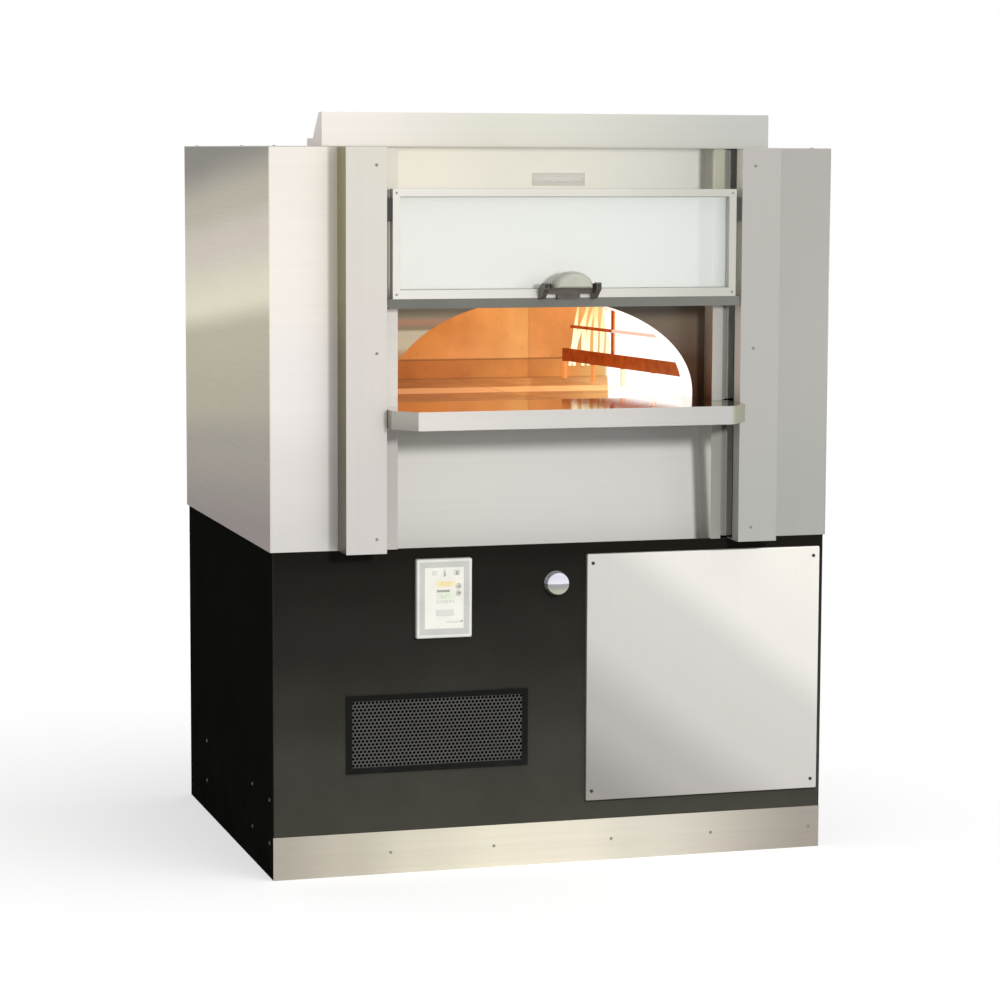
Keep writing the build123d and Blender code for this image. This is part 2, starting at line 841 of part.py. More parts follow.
def apron_panel():
    """The leaning panel under the mantle, with a side wall and a flange on each side."""
    lean = [(apron_foot_setback, deck_top), (apron_top_setback, slab_foot),
            (apron_top_setback + sheet, slab_foot), (apron_foot_setback + sheet, deck_top)]
    behind = stand_front + sheet
    wall = [(behind, deck_top), (apron_foot_setback, deck_top), (apron_top_setback, slab_foot),
            (facade_depth, slab_foot), (facade_depth, mantle_foot), (-jamb_reach - sheet, mantle_foot),
            (-jamb_reach - sheet, stand_height), (behind, stand_height)]
    panel = run_x(polygon(lean), -jamb_half - sheet, jamb_half + sheet)
    for side in (-1, 1):
        outer = side * (jamb_half + sheet)
        panel += run_x(polygon(wall), min(side * jamb_half, outer), max(side * jamb_half, outer))
        panel += block(side * flange_half, outer, -jamb_reach - sheet, -jamb_reach, stand_height, mantle_foot)
    return panel


def mantle_outline(inset):
    """The plan of the mantle: a straight lip with slanted corners, between the door posts."""
    front = alcove_half - mantle_corner
    half = mantle_half - inset
    corner = -mantle_reach + mantle_corner_depth
    return [(-front + inset, -mantle_reach + inset), (front - inset, -mantle_reach + inset),
            (half, corner), (half, facade_back - inset), (-half, facade_back - inset), (-half, corner)]


def mantle_shelf():
    """The mantle, a folded pan open underneath."""
    pan = run_z(polygon(mantle_outline(0)), mantle_foot, mantle_top)
    return pan - run_z(polygon(mantle_outline(mantle_plate)), mantle_foot - overrun, mantle_top - mantle_plate)


def vent_fascia():
    """The vent collar on the roof: a front plate with a flange, two sloped ends and a low back curb."""
    half = body_half - vent_side_gap
    top = body_top + vent_height
    curb = body_top + vent_curb
    end = [(vent_front, body_top), (vent_front, top), (vent_front + vent_flange, top),
           (vent_slope_end, curb), (vent_back, curb), (vent_back, body_top)]
    front = [(vent_front, body_top), (vent_front, top), (vent_front + vent_flange, top),
             (vent_front + vent_flange, top - sheet), (vent_front + sheet, top - sheet),
             (vent_front + sheet, body_top)]
    collar = run_x(polygon(front), -half, half)
    collar += run_x(polygon(end), -half, -half + sheet) + run_x(polygon(end), half - sheet, half)
    return collar + block(-half, half, vent_back - sheet, vent_back, body_top, curb)


def flue_duct():
    """The rectangular flue from the front of the dome to the roof."""
    return flue_block(flue_wall, flue_seat) - flue_block(0, flue_seat - overrun)


# Door

def door_frame():
    """The door frame: channels open to the back round the glass, with a skirt that the glass sits in."""
    bars = Rectangle(2 * door_half, door_height)
    hole = Pos(0, (door_foot_rail - door_rail) / 2) * Rectangle(
        2 * (door_half - door_rail), door_height - door_rail - door_foot_rail)
    skirt = Rectangle(2 * door_half, door_height) - Rectangle(
        2 * (door_half - glass_rim), door_height - 2 * glass_rim)
    inside = Rectangle(2 * (door_half - door_wall), door_height - 2 * door_wall) - Pos(
        0, (door_foot_rail - door_rail) / 2) * Rectangle(
        2 * (door_half - door_rail + door_wall), door_height - door_rail - door_foot_rail + 2 * door_wall)
    place = Pos(0, (door_top + door_foot) / 2)
    frame = run_y(place * (bars - hole), door_front, glass_front)
    frame += run_y(place * skirt, glass_front, glass_front + door_skirt)
    return frame - run_y(place * inside, door_front + door_wall, glass_front)


def door_glass():
    """The glass pane, seated behind the bars."""
    half = door_half - glass_rim
    return block(-half, half, glass_front, glass_front + glass_thickness,
                 door_foot + glass_rim, door_top - glass_rim)


def door_bottom_bar():
    """The dark channel under the door that comes down on the mantle."""
    half = door_half + bottom_bar_overhang
    back = door_front + bottom_bar_depth
    line = [(back, door_foot), (door_front, door_foot), (door_front, bottom_bar_foot),
            (back, bottom_bar_foot)]
    return run_x(polygon(mitred(line, sheet)), -half, half)


def door_hanger():
    """The right hanger: from the side of the door back and out through the slot to the cable clamp."""
    z0 = hanger_top - hanger_height
    reach = cable_x - carriage_width / 2
    front = door_front + hanger_setback
    arm_front = loop_front - carriage_depth / 2
    arm_back = loop_front + carriage_depth / 2
    side = door_half + hanger_thickness
    plan = [(door_half, front), (side, front), (side, arm_front), (reach, arm_front),
            (reach, arm_back), (door_half, arm_back)]
    arm = run_z(polygon(plan), z0, hanger_top)
    clamp = block(reach, reach + carriage_width, arm_front, arm_back, z0 - carriage_margin,
                  hanger_top + carriage_margin / 2)
    clamp -= rod(cable_x, loop_front, z0 - 2 * carriage_margin, cable_diameter + 2 * cable_clearance,
                 hanger_height + 4 * carriage_margin, "Z")
    clamp -= rod(rod_x, loop_front, z0 - 2 * carriage_margin, rod_diameter + 2 * rod_clearance,
                 hanger_height + 4 * carriage_margin, "Z")
    return arm + clamp


def handle_bracket():
    """The dark handle bracket: two arms that rise forward, joined by a crossbar with a lug in its middle."""
    z0 = door_foot - handle_drop
    back = door_front - crossbar_depth
    tip = door_front - arm_reach
    top = z0 + arm_rise
    arm = [(door_front, z0), (door_front, z0 + arm_rise * arm_foot_share), (tip + arm_tip, top), (tip, top),
           (tip, top - arm_tip), (back, z0)]
    half = arm_spacing / 2
    bracket = block(-half, half, back, door_front, z0 + crossbar_foot, z0 + crossbar_top)
    bracket += block(-lug_width / 2, lug_width / 2, back, door_front, z0, z0 + crossbar_foot)
    for x in (-half, half):
        post = run_x(polygon(arm), x - arm_width / 2, x + arm_width / 2)
        bracket += fillet(post.edges().filter_by(Axis.X).group_by(Axis.Y)[0], arm_edge)
    return bracket


def grip_section(width, height):
    """The outline of the grip: a flat foot with short upright ends under half an ellipse."""
    shoulder = height * grip_foot_share
    ends = Pos(0, shoulder / 2) * Rectangle(width, shoulder)
    above = Pos(0, shoulder + height) * Rectangle(2 * width, 2 * height)
    return ends + (Pos(0, shoulder) * Ellipse(width / 2, height - shoulder) & above)


def handle_grip():
    """The pale grip, lofted from its seat on the crossbar to a domed front."""
    foot = door_foot - handle_drop + grip_rise
    back = door_front - crossbar_depth
    sections = []
    for share, width, height in grip_sections:
        lift = grip_height * (1 - height) * grip_lift_share
        place = Plane.XZ.offset(-back + grip_depth * share) * Pos(0, foot + lift)
        sections.append(place * grip_section(grip_width * width, grip_height * height))
    return loft(sections)


# Lift

def lift_frame():
    """The right lift frame: a back plate with two end blocks, two guide rods and two pulley axles."""
    plate_x = stile_outer - sheet - lift_plate
    z0 = loop_bottom - loop_radius - lift_margin
    z1 = loop_top + loop_radius
    back = block(plate_x, plate_x + lift_plate, loop_front - lift_margin, loop_back + lift_margin, z0, z1)
    for z in (z0, z1 - lift_block):
        back += block(rod_x - rod_diameter, plate_x, loop_front - rod_diameter, loop_back + rod_diameter,
                      z, z + lift_block)
    for y in (loop_front, loop_back):
        back += rod(rod_x, y, z0 + lift_block / 2, rod_diameter, z1 - z0 - lift_block, "Z")
    start = cable_x - pulley_width / 2 - axle_tail
    hub = cable_x + pulley_width / 2 + hub_gap
    for z in (loop_bottom, loop_top):
        back += rod(start, loop_mid, z, axle_diameter, plate_x - start, "X")
        back += rod(hub, loop_mid, z, pulley_hub, plate_x - hub, "X")
    return back


def pulley(z):
    """A right-hand rope pulley with a round groove and a running bore."""
    half = pulley_width / 2
    floor = loop_radius - cable_diameter / 2 - cable_clearance
    rim = loop_radius + pulley_flange
    groove = cable_diameter / 2 + cable_clearance
    outline = Polyline((-half, axle_diameter / 2 + running_fit), (half, axle_diameter / 2 + running_fit),
                       (half, rim), (groove + pulley_lip, rim), (groove, loop_radius),
                       (groove * pulley_floor_share, floor), (-groove * pulley_floor_share, floor),
                       (-groove, loop_radius), (-groove - pulley_lip, rim), (-half, rim),
                       (-half, axle_diameter / 2 + running_fit))
    wheel = revolve(make_face(Plane.XY * outline), axis=Axis.X)
    return Pos(cable_x, loop_mid, z) * wheel


def lift_cable():
    """The right cable: an endless loop of wire rope over the pulley and the idler."""
    lower_turn = revolve(Pos(loop_radius, 0) * Circle(cable_diameter / 2), axis=Axis.Y, revolution_arc=180)
    cable = Pos(cable_x, loop_mid, loop_bottom) * Rotation(0, 0, 90) * lower_turn
    cable += Pos(cable_x, loop_mid, loop_top) * Rotation(0, 0, 90) * Rotation(180, 0, 0) * lower_turn
    for y in (loop_front, loop_back):
        cable += rod(cable_x, y, loop_bottom, cable_diameter, loop_top - loop_bottom, "Z")
    return cable


def counterweight():
    """The right counterweight, clamped on the back run of the cable and guided by the back rod."""
    z0 = loop_bottom + loop_radius + pulley_flange + weight_gap
    x0 = cable_x - weight_inset
    weight = block(x0, x0 + weight_width, loop_back - weight_depth / 2, loop_back + weight_depth / 2,
                   z0, z0 + weight_height)
    weight = chamfer(weight.edges().filter_by(Axis.Z), weight_corner)
    foot = z0 - overrun
    length = weight_height + 2 * overrun
    weight -= rod(cable_x, loop_back, foot, cable_diameter + 2 * cable_clearance, length, "Z")
    return weight - rod(rod_x, loop_back, foot, rod_diameter + 2 * rod_clearance, length, "Z")


def main():
    """Write every sub-part."""
    os.makedirs("parts", exist_ok=True)
    write("stand_frame", stand_frame())
    write("stand_deck", stand_deck())
    write("stand_right_panel", stand_side())
    write("stand_left_panel", mirrored(stand_side()))
    write("stand_back_panel", stand_back_panel())
    write("stand_front_panel", stand_front_panel())
    write("kick_plate", kick_plate())
    write("access_panel", access_panel())
    write("grille_frame", grille_frame())
    write("grille_mesh", grille_mesh())
    write("controller_housing", controller_housing())
    write("controller_face", controller_face())
    write("display_windows", *display_windows())
    for name, z in keys.items():
        write(name, push_key(z))
    write("flame_knob", flame_knob())
    write("valve_stem", valve_stem())
    write("gas_valve", gas_valve())
    write("gas_inlet", gas_inlet())
    write("gas_pipes", *gas_pipes())
    write("cable_gland", cable_gland())
    write("body_frame", body_frame())
    write("hearth_slab", hearth_slab())
    write("refractory_dome", refractory_dome() - probe_hole())
    write("insulation_blanket", insulation_blanket() - probe_hole())
    write("flame_burner", flame_burner())
    write("flame_guard", flame_guard())
    write("underfloor_burner", underfloor_burner())
    write("thermocouple", thermocouple())
    write("body_right_panel", body_side())
    write("body_left_panel", mirrored(body_side()))
    write("body_back_panel", body_back_panel())
    write("body_top_panel", body_top_panel())
    write("front_right_panel", front_panel())
    write("front_left_panel", mirrored(front_panel()))
    write("right_door_post", stile())
    write("left_door_post", mirrored(stile()))
    write("header_panel", header_panel())
    write("arch_facade", arch_facade())
    write("apron_panel", apron_panel())
    write("mantle_shelf", mantle_shelf())
    write("vent_fascia", vent_fascia())
    write("flue_duct", flue_duct())
    write("door_frame", door_frame())
    write("door_glass", door_glass())
    write("door_bottom_bar", door_bottom_bar())
    write("door_hangers", door_hanger(), mirrored(door_hanger()))
    write("handle_bracket", handle_bracket())
    write("handle_grip", handle_grip())
    lift = {"lift_frame": lift_frame(), "top_pulley": pulley(loop_top), "idler_pulley": pulley(loop_bottom),
            "lift_cable": lift_cable(), "counterweight": counterweight()}
    for name, piece in lift.items():
        write(f"right_{name}", piece)
        write(f"left_{name}", mirrored(piece))


main()
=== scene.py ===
"""The looks of a gas fired stone hearth oven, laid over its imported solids.

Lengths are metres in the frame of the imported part: +X is the viewer's right, +Y the back and +Z up, with
the origin on the floor at the centre of the footprint.
"""

import json
import logging
import math
import random
from dataclasses import dataclass
from enum import Enum
from functools import partial
from typing import Any

import bmesh
import bpy
from mathutils import Matrix, Vector

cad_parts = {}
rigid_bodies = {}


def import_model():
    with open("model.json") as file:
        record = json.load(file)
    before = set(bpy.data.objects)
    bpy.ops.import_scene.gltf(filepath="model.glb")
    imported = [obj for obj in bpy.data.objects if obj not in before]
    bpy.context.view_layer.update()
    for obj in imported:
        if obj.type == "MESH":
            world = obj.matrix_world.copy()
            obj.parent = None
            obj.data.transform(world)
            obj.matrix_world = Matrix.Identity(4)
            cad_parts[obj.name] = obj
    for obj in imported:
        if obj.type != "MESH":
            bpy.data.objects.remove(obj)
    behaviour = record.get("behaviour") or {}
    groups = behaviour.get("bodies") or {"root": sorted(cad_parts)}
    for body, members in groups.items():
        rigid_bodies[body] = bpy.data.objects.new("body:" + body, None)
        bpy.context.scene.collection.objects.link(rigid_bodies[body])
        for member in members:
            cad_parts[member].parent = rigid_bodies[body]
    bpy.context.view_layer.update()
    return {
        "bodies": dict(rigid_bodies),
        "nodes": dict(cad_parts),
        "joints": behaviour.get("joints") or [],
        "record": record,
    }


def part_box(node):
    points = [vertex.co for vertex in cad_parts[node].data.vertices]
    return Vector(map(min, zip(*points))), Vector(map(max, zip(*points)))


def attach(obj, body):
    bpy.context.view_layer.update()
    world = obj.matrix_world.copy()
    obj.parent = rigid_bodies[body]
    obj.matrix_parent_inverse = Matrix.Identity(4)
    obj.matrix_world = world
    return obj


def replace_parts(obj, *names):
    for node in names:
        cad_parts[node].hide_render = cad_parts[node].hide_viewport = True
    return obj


log = logging.getLogger("hearth_oven")

Colour = tuple[float, float, float, float]
Triple = tuple[float, float, float]
Pair = tuple[float, float]
Stops = tuple[tuple[float, ...], ...]
Marks = tuple[tuple[float, float, float, float, float], ...]

ACROSS: Triple = (1.0, 0.0, 0.0)
UP: Triple = (0.0, 0.0, 1.0)


def screen(red: float, green: float, blue: float) -> Colour:
    """Turn a colour as it looks on a screen, from 0 to 255, into a shader's linear colour.

    Args:
        red: Its red.
        green: Its green.
        blue: Its blue.

    Returns:
        The linear colour, fully opaque.
    """
    parts = [value / 255 for value in (red, green, blue)]
    linear = [part / 12.92 if part <= 0.04045 else ((part + 0.055) / 1.055) ** 2.4 for part in parts]
    return (linear[0], linear[1], linear[2], 1.0)


class Facing(Enum):
    """The ways that a small fitting can face."""

    FRONT = (0.0, -1.0, 0.0)
    BACK = (0.0, 1.0, 0.0)
    LEFT = (-1.0, 0.0, 0.0)
    RIGHT = (1.0, 0.0, 0.0)
    UP = (0.0, 0.0, 1.0)

    def at(self, place: Triple) -> Matrix:
        """Give the matrix that takes +Z to this way and the origin to a place."""
        turn = Vector((0, 0, 1)).rotation_difference(Vector(self.value)).to_matrix().to_4x4()
        return Matrix.Translation(place) @ turn


class Grain(Enum):
    """How the noise of brushed metal is stretched for each direction of the brush marks."""

    ALONG_X = (5.0, 900.0, 900.0)
    ALONG_Y = (900.0, 5.0, 900.0)
    ALONG_Z = (900.0, 900.0, 5.0)


class Field:
    """A number, colour or vector that changes over a surface, with plain arithmetic for numbers."""

    def __init__(self, graph: "Graph", socket: bpy.types.NodeSocket) -> None:
        """Hold the output socket that gives the field, and the nodes that it is among."""
        self.graph = graph
        self.socket = socket

    def __add__(self, other: Any) -> "Field":
        """Add a number."""
        return self.graph.math("ADD", self, other)

    def __sub__(self, other: Any) -> "Field":
        """Take a number away."""
        return self.graph.math("SUBTRACT", self, other)

    def __rsub__(self, other: Any) -> "Field":
        """Take this away from a number."""
        return self.graph.math("SUBTRACT", other, self)

    def __mul__(self, other: Any) -> "Field":
        """Multiply by a number."""
        return self.graph.math("MULTIPLY", self, other)

    def __truediv__(self, other: Any) -> "Field":
        """Divide by a number."""
        return self.graph.math("DIVIDE", self, other)

    def __abs__(self) -> "Field":
        """Give the number without its sign."""
        return self.graph.math("ABSOLUTE", self)

    def most(self, other: Any) -> "Field":
        """Give the larger of two numbers."""
        return self.graph.math("MAXIMUM", self, other)

    def clamped(self) -> "Field":
        """Keep the result of the last sum between 0 and 1."""
        self.socket.node.use_clamp = True
        return self

    def spread(self, low: float, high: float, to_low: float, to_high: float) -> "Field":
        """Map the range from low to high to another one, smoothly, and stop at its ends."""
        inputs = {0: self, 1: low, 2: high, 3: to_low, 4: to_high}
        return self.graph.field("MapRange", inputs, clamp=True, interpolation_type="SMOOTHSTEP")

    def above(self, level: float, soft: float = 0.001) -> "Field":
        """Give 1 over a level and 0 under it."""
        return self.spread(level - soft, level + soft, 0.0, 1.0)

    def below(self, level: float, soft: float = 0.001) -> "Field":
        """Give 1 under a level and 0 over it."""
        return self.spread(level - soft, level + soft, 1.0, 0.0)

    def vary(self, low: float, high: float) -> "Field":
        """Turn a noise into a factor between two values."""
        return self.spread(0.3, 0.7, low, high)

    def between(self, low: float, high: float) -> "Field":
        """Turn a share from 0 to 1 into a value between two others."""
        return self.spread(0.0, 1.0, low, high)

    def mix(self, first: Any, second: Any) -> "Field":
        """Mix two colours, with this as the share of the second."""
        return self.graph.field("Mix", {0: self, 6: first, 7: second}, 2, data_type="RGBA")

    def tint(self, colour: Any) -> "Field":
        """Make a colour lighter or darker by this factor."""
        return self.graph.field("VectorMath", {0: colour, "Scale": self}, operation="SCALE")

    def scaled(self, factor: Any) -> "Field":
        """Multiply a vector by one number."""
        return self.graph.field("VectorMath", {0: self, "Scale": factor}, operation="SCALE")

    def stretched(self, factors: Any) -> "Field":
        """Multiply a vector by three numbers."""
        return self.graph.field("VectorMath", {0: self, 1: factors}, operation="MULTIPLY")

    def dot(self, line: Any) -> "Field":
        """Give how far a vector goes along a line."""
        return self.graph.field("VectorMath", {0: self, 1: line}, "Value", operation="DOT_PRODUCT")

    def axes(self) -> list["Field"]:
        """Part a vector into its three numbers."""
        return [Field(self.graph, socket) for socket in self.graph.node("SeparateXYZ", {0: self}).outputs]

    def noise(self, scale: float, detail: float = 4.0, rough: float = 0.55) -> "Field":
        """Read a noise from 0 to 1 by its waves for each metre, its finer layers and their strength."""
        return self.graph.field("TexNoise", {"Vector": self, "Scale": scale, "Detail": detail, "Roughness": rough})

    def cells(self, size: Pair, gap: float, smooth: float = 0.1) -> "Field":
        """Give a grid of gaps between cells, as 1 in the gaps.

        Args:
            size: A cell's width and height.
            gap: The width of the gaps.
            smooth: How soft their edges are.

        Returns:
            The grid.
        """
        inputs = {"Vector": self, "Scale": 1.0, "Mortar Size": gap, "Mortar Smooth": smooth,
                  "Brick Width": size[0], "Row Height": size[1]}
        return self.graph.field("TexBrick", inputs, "Fac", offset=0.0)

    def ramp(self, stops: Stops) -> "Field":
        """Turn a number from 0 to 1 into a tone.

        Args:
            stops: Where each tone stands, then its red, green and blue on a screen, or one linear level.

        Returns:
            The tone.
        """
        made = self.graph.node("ValToRGB", {0: self})
        band = made.color_ramp
        band.interpolation = "EASE"
        tones = [(spot, screen(*parts) if len(parts) == 3 else (*parts * 3, 1.0)) for spot, *parts in stops]
        band.elements[0].position, band.elements[0].color = tones[0]
        band.elements[1].position, band.elements[1].color = tones[-1]
        for spot, colour in tones[1:-1]:
            band.elements.new(spot).color = colour
        return Field(self.graph, made.outputs[0])

    def bump(self, depth: float, normal: Any = None) -> "Field":
        """Turn a height from 0 to 1 into a normal.

        Args:
            depth: What a height of 1 stands for, in metres.
            normal: The normal that it starts from.

        Returns:
            The bumped normal.
        """
        inputs: dict[Any, Any] = {"Height": self, "Distance": depth, "Strength": 1.0}
        if normal is not None:
            inputs["Normal"] = normal
        return self.graph.field("Bump", inputs)


class Graph:
    """The nodes of one material, world or node group."""

    def __init__(self, tree: bpy.types.NodeTree) -> None:
        """Hold the tree that the nodes go into."""
        self.tree = tree

    @classmethod
    def fresh(cls, owner: Any) -> "Graph":
        """Give the emptied nodes of a material or a world.

        Args:
            owner: The material or the world.

        Returns:
            Its nodes.
        """
        owner.use_nodes = True
        owner.node_tree.nodes.clear()
        return cls(owner.node_tree)

    def feed(self, socket: bpy.types.NodeSocket, value: Any) -> None:
        """Link a socket to a field or another socket, or set its own value.

        Args:
            socket: The input to fill.
            value: A field, an output socket or a plain value.
        """
        if isinstance(value, Field):
            value = value.socket
        if isinstance(value, bpy.types.NodeSocket):
            self.tree.links.new(value, socket)
        elif socket.type == "VECTOR":
            socket.default_value = value[:3]
        else:
            socket.default_value = value

    def node(self, kind: str, inputs: dict[Any, Any] | None = None, **settings: Any) -> bpy.types.Node:
        """Add a node.

        Args:
            kind: Its type, without the leading words ShaderNode.
            inputs: What feeds its inputs, by name or number.
            **settings: Properties of the node.

        Returns:
            The new node.
        """
        made = self.tree.nodes.new("ShaderNode" + kind)
        for name, value in settings.items():
            setattr(made, name, value)
        for key, value in (inputs or {}).items():
            self.feed(made.inputs[key], value)
        return made

    def field(self, kind: str, inputs: dict[Any, Any] | None = None, output: Any = 0, **settings: Any) -> Field:
        """Add a node and give one of its outputs, by name or number."""
        return Field(self, self.node(kind, inputs, **settings).outputs[output])

    def math(self, operation: str, *values: Any) -> Field:
        """Work out a number from one or two others."""
        return self.field("Math", dict(enumerate(values)), operation=operation)

    def place(self) -> Field:
        """Give the place on the object, which moves along with its body."""
        return self.field("TexCoord", output="Object")

    def facing(self) -> list[Field]:
        """Give the three parts of the surface's true normal."""
        return self.field("NewGeometry", output="Normal").axes()


PLACE = ("Place", (0.0, 0.0, 0.0))


@dataclass(frozen=True)
class Effect:
    """A surface effect that many finishes share, kept as one shader node group."""

    title: str
    gives: tuple[str, ...] = ("Mask",)
    takes: tuple[tuple[str, Any], ...] = (PLACE,)

    def lay(self, graph: Graph, given: dict[str, Field]) -> dict[str, Field]:
        """Lay the nodes inside the group, and give what each named output is fed with."""
        raise NotImplementedError

    def add_socket(self, tree: bpy.types.NodeTree, name: str, way: str, vector: bool) -> Any:
        """Add a named input or output to the group, for a vector or a plain number."""
        kind = "NodeSocketVector" if vector else "NodeSocketFloat"
        return tree.interface.new_socket(name=name, in_out=way, socket_type=kind)

    def group(self) -> bpy.types.NodeTree:
        """Give the node group, built at its first use.

        Returns:
            The group's tree.
        """
        found = bpy.data.node_groups.get(self.title)
        if found is not None:
            return found
        made = bpy.data.node_groups.new(self.title, "ShaderNodeTree")
        for name, value in self.takes:
            self.add_socket(made, name, "INPUT", isinstance(value, tuple)).default_value = value
        for name in self.gives:
            self.add_socket(made, name, "OUTPUT", name == "Normal")
        graph = Graph(made)
        given = {socket.name: Field(graph, socket) for socket in made.nodes.new("NodeGroupInput").outputs}
        way_out = made.nodes.new("NodeGroupOutput")
        for name, value in self.lay(graph, given).items():
            graph.feed(way_out.inputs[name], value)
        return made

    def use(self, place: Field, **values: Any) -> dict[str, Field]:
        """Place the group in a material.

        Args:
            place: The place on the object.
            **values: What feeds its other inputs, by name.

        Returns:
            The group's outputs by name.
        """
        made = place.graph.tree.nodes.new("ShaderNodeGroup")
        made.node_tree = self.group()
        if PLACE in self.takes:
            values["Place"] = place
        for name, value in values.items():
            place.graph.feed(made.inputs[name], value)
        return {socket.name: Field(place.graph, socket) for socket in made.outputs}


class BrushMarks(Effect):
    """Long fine scratches, with slow changes of tone across them."""

    def lay(self, graph: Graph, given: dict[str, Field]) -> dict[str, Field]:
        """Lay two layers of stretched noise.

        Args:
            graph: The group's nodes; not used.
            given: The group's inputs by name.

        Returns:
            What each named output is fed with.
        """
        along = given["Place"].stretched(given["Stretch"])
        fine = along.noise(1.0, 5.0, 0.7)
        slow = along.scaled(0.07).noise(1.0, 3.0, 0.6)
        return {"Tone": fine * 0.6 + slow * 0.4, "Height": fine}


class HandlingMarks(Effect):
    """Faint cloudy marks where hands and cloths have been."""

    def lay(self, graph: Graph, given: dict[str, Field]) -> dict[str, Field]:
        """Lay clouds broken up by fine speckle."""
        clouds = given["Place"].noise(3.5, 5.0, 0.6).spread(0.48, 0.72, 0.0, 1.0)
        return {"Mask": clouds * given["Place"].noise(60.0, 3.0, 0.6).spread(0.35, 0.65, 0.4, 1.0)}


class SoftEdge(Effect):
    """A small rounding of every sharp edge, and a mask of where it is."""

    def lay(self, graph: Graph, given: dict[str, Field]) -> dict[str, Field]:
        """Compare the rounded normal with the true one.

        Args:
            graph: The group's nodes.
            given: The group's inputs by name.

        Returns:
            What each named output is fed with.
        """
        rounded = graph.field("Bevel", {"Radius": given["Radius"]}, samples=4)
        same = rounded.dot(graph.field("NewGeometry", output="Normal"))
        gap = ((1.0 - same) * 7.0).clamped()
        return {"Mask": gap * given["Place"].noise(90.0, 4.0, 0.7).spread(0.3, 0.6, 0.25, 1.0), "Normal": rounded}


class SettledDust(Effect):
    """Dust that lies on what faces up, and a lighter tone that grows towards the floor."""

    def lay(self, graph: Graph, given: dict[str, Field]) -> dict[str, Field]:
        """Join the upward faces and the low places, broken up by noise.

        Args:
            graph: The group's nodes.
            given: The group's inputs by name.

        Returns:
            What each named output is fed with.
        """
        upward = graph.facing()[2].spread(0.4, 0.95, 0.0, 1.0)
        low = given["Place"].axes()[2].spread(0.0, 0.35, 0.6, 0.0)
        return {"Mask": upward.most(low) * given["Place"].noise(14.0, 6.0, 0.65).spread(0.35, 0.7, 0.0, 1.0)}


class Mottle(Effect):
    """The uneven tone and grit of cast or fired stuff."""

    def lay(self, graph: Graph, given: dict[str, Field]) -> dict[str, Field]:
        """Lay patches, grit and pits.

        Args:
            graph: The group's nodes; not used.
            given: The group's inputs by name.

        Returns:
            What each named output is fed with.
        """
        place = given["Place"].scaled(given["Fineness"])
        pits = place.noise(9.0, 2.0).spread(0.62, 0.75, 0.0, 1.0)
        height = place.noise(22.0, 3.0, 0.7) * 0.5 - pits * 0.6
        return {"Tone": place.noise(1.0, 5.0, 0.6), "Height": height, "Pits": pits}


class SheenField(Effect):
    """How far a place is along a line, which wanders a little."""

    def lay(self, graph: Graph, given: dict[str, Field]) -> dict[str, Field]:
        """Project the place on the line and add slow noise."""
        share = (given["Place"].dot(given["Line"]) - given["Start"]) / given["Span"]
        return {"Share": (share + (given["Place"].noise(1.7, 2.0) - 0.5) * given["Wander"]).clamped()}


class Flank(Effect):
    """Which faces look sideways, to the left."""

    def lay(self, graph: Graph, given: dict[str, Field]) -> dict[str, Field]:
        """Read the true normal's X."""
        return {"Mask": graph.facing()[0].spread(-0.9, -0.5, 1.0, 0.0)}


BRUSH = BrushMarks("brush_marks", ("Tone", "Height"), (PLACE, ("Stretch", Grain.ALONG_X.value)))
HANDS = HandlingMarks("handling_marks")
EDGE = SoftEdge("soft_edge", ("Mask", "Normal"), (PLACE, ("Radius", 0.001)))
DUST = SettledDust("settled_dust")
MOTTLE = Mottle("mottle", ("Tone", "Height", "Pits"), (PLACE, ("Fineness", 1.0)))
SHEEN = SheenField("sheen_field", ("Share",),
                   (PLACE, ("Line", UP), ("Start", 0.0), ("Span", 1.0), ("Wander", 0.1)))
FLANK = Flank("flank", takes=())


@dataclass(frozen=True)
class Sheen:
    """Painted sheen: tones along a line that stand in for the light, shade and reflections on a surface."""

    line: Triple
    start: float
    end: float
    stops: Stops
    wander: float = 0.1

    def colour(self, place: Field) -> Field:
        """Give the tone at a place on the object."""
        share = SHEEN.use(place, Line=self.line, Start=self.start, Span=self.end - self.start, Wander=self.wander)
        return share["Share"].ramp(self.stops)


@dataclass(frozen=True)
class Finish:
    """A finish of the oven: one procedural material, made at its first use."""

    name: str
    colour: Colour = (0.5, 0.5, 0.5, 1.0)
    roughness: float = 0.5
    sheen: Sheen | None = None

    def tone(self, place: Field) -> Any:
        """Give the sheen's tone at a place, or the plain colour where there is no sheen."""
        return self.sheen.colour(place) if self.sheen else self.colour

    def lay(self, place: Field) -> dict[str, Any]:
        """Lay the nodes of the finish, and give what feeds each input of the Principled shader."""
        raise NotImplementedError

    def surface(self, graph: Graph, shader: bpy.types.Node) -> bpy.types.NodeSocket:
        """Give the surface that the shader makes."""
        return shader.outputs[0]

    def material(self) -> bpy.types.Material:
        """Give the material, built at its first use.

        Returns:
            The material.
        """
        found = bpy.data.materials.get(self.name)
        if found is not None:
            return found
        made = bpy.data.materials.new(self.name)
        graph = Graph.fresh(made)
        shader = graph.node("BsdfPrincipled", self.lay(graph.place()))
        graph.node("OutputMaterial", {"Surface": self.surface(graph, shader)})
        return made


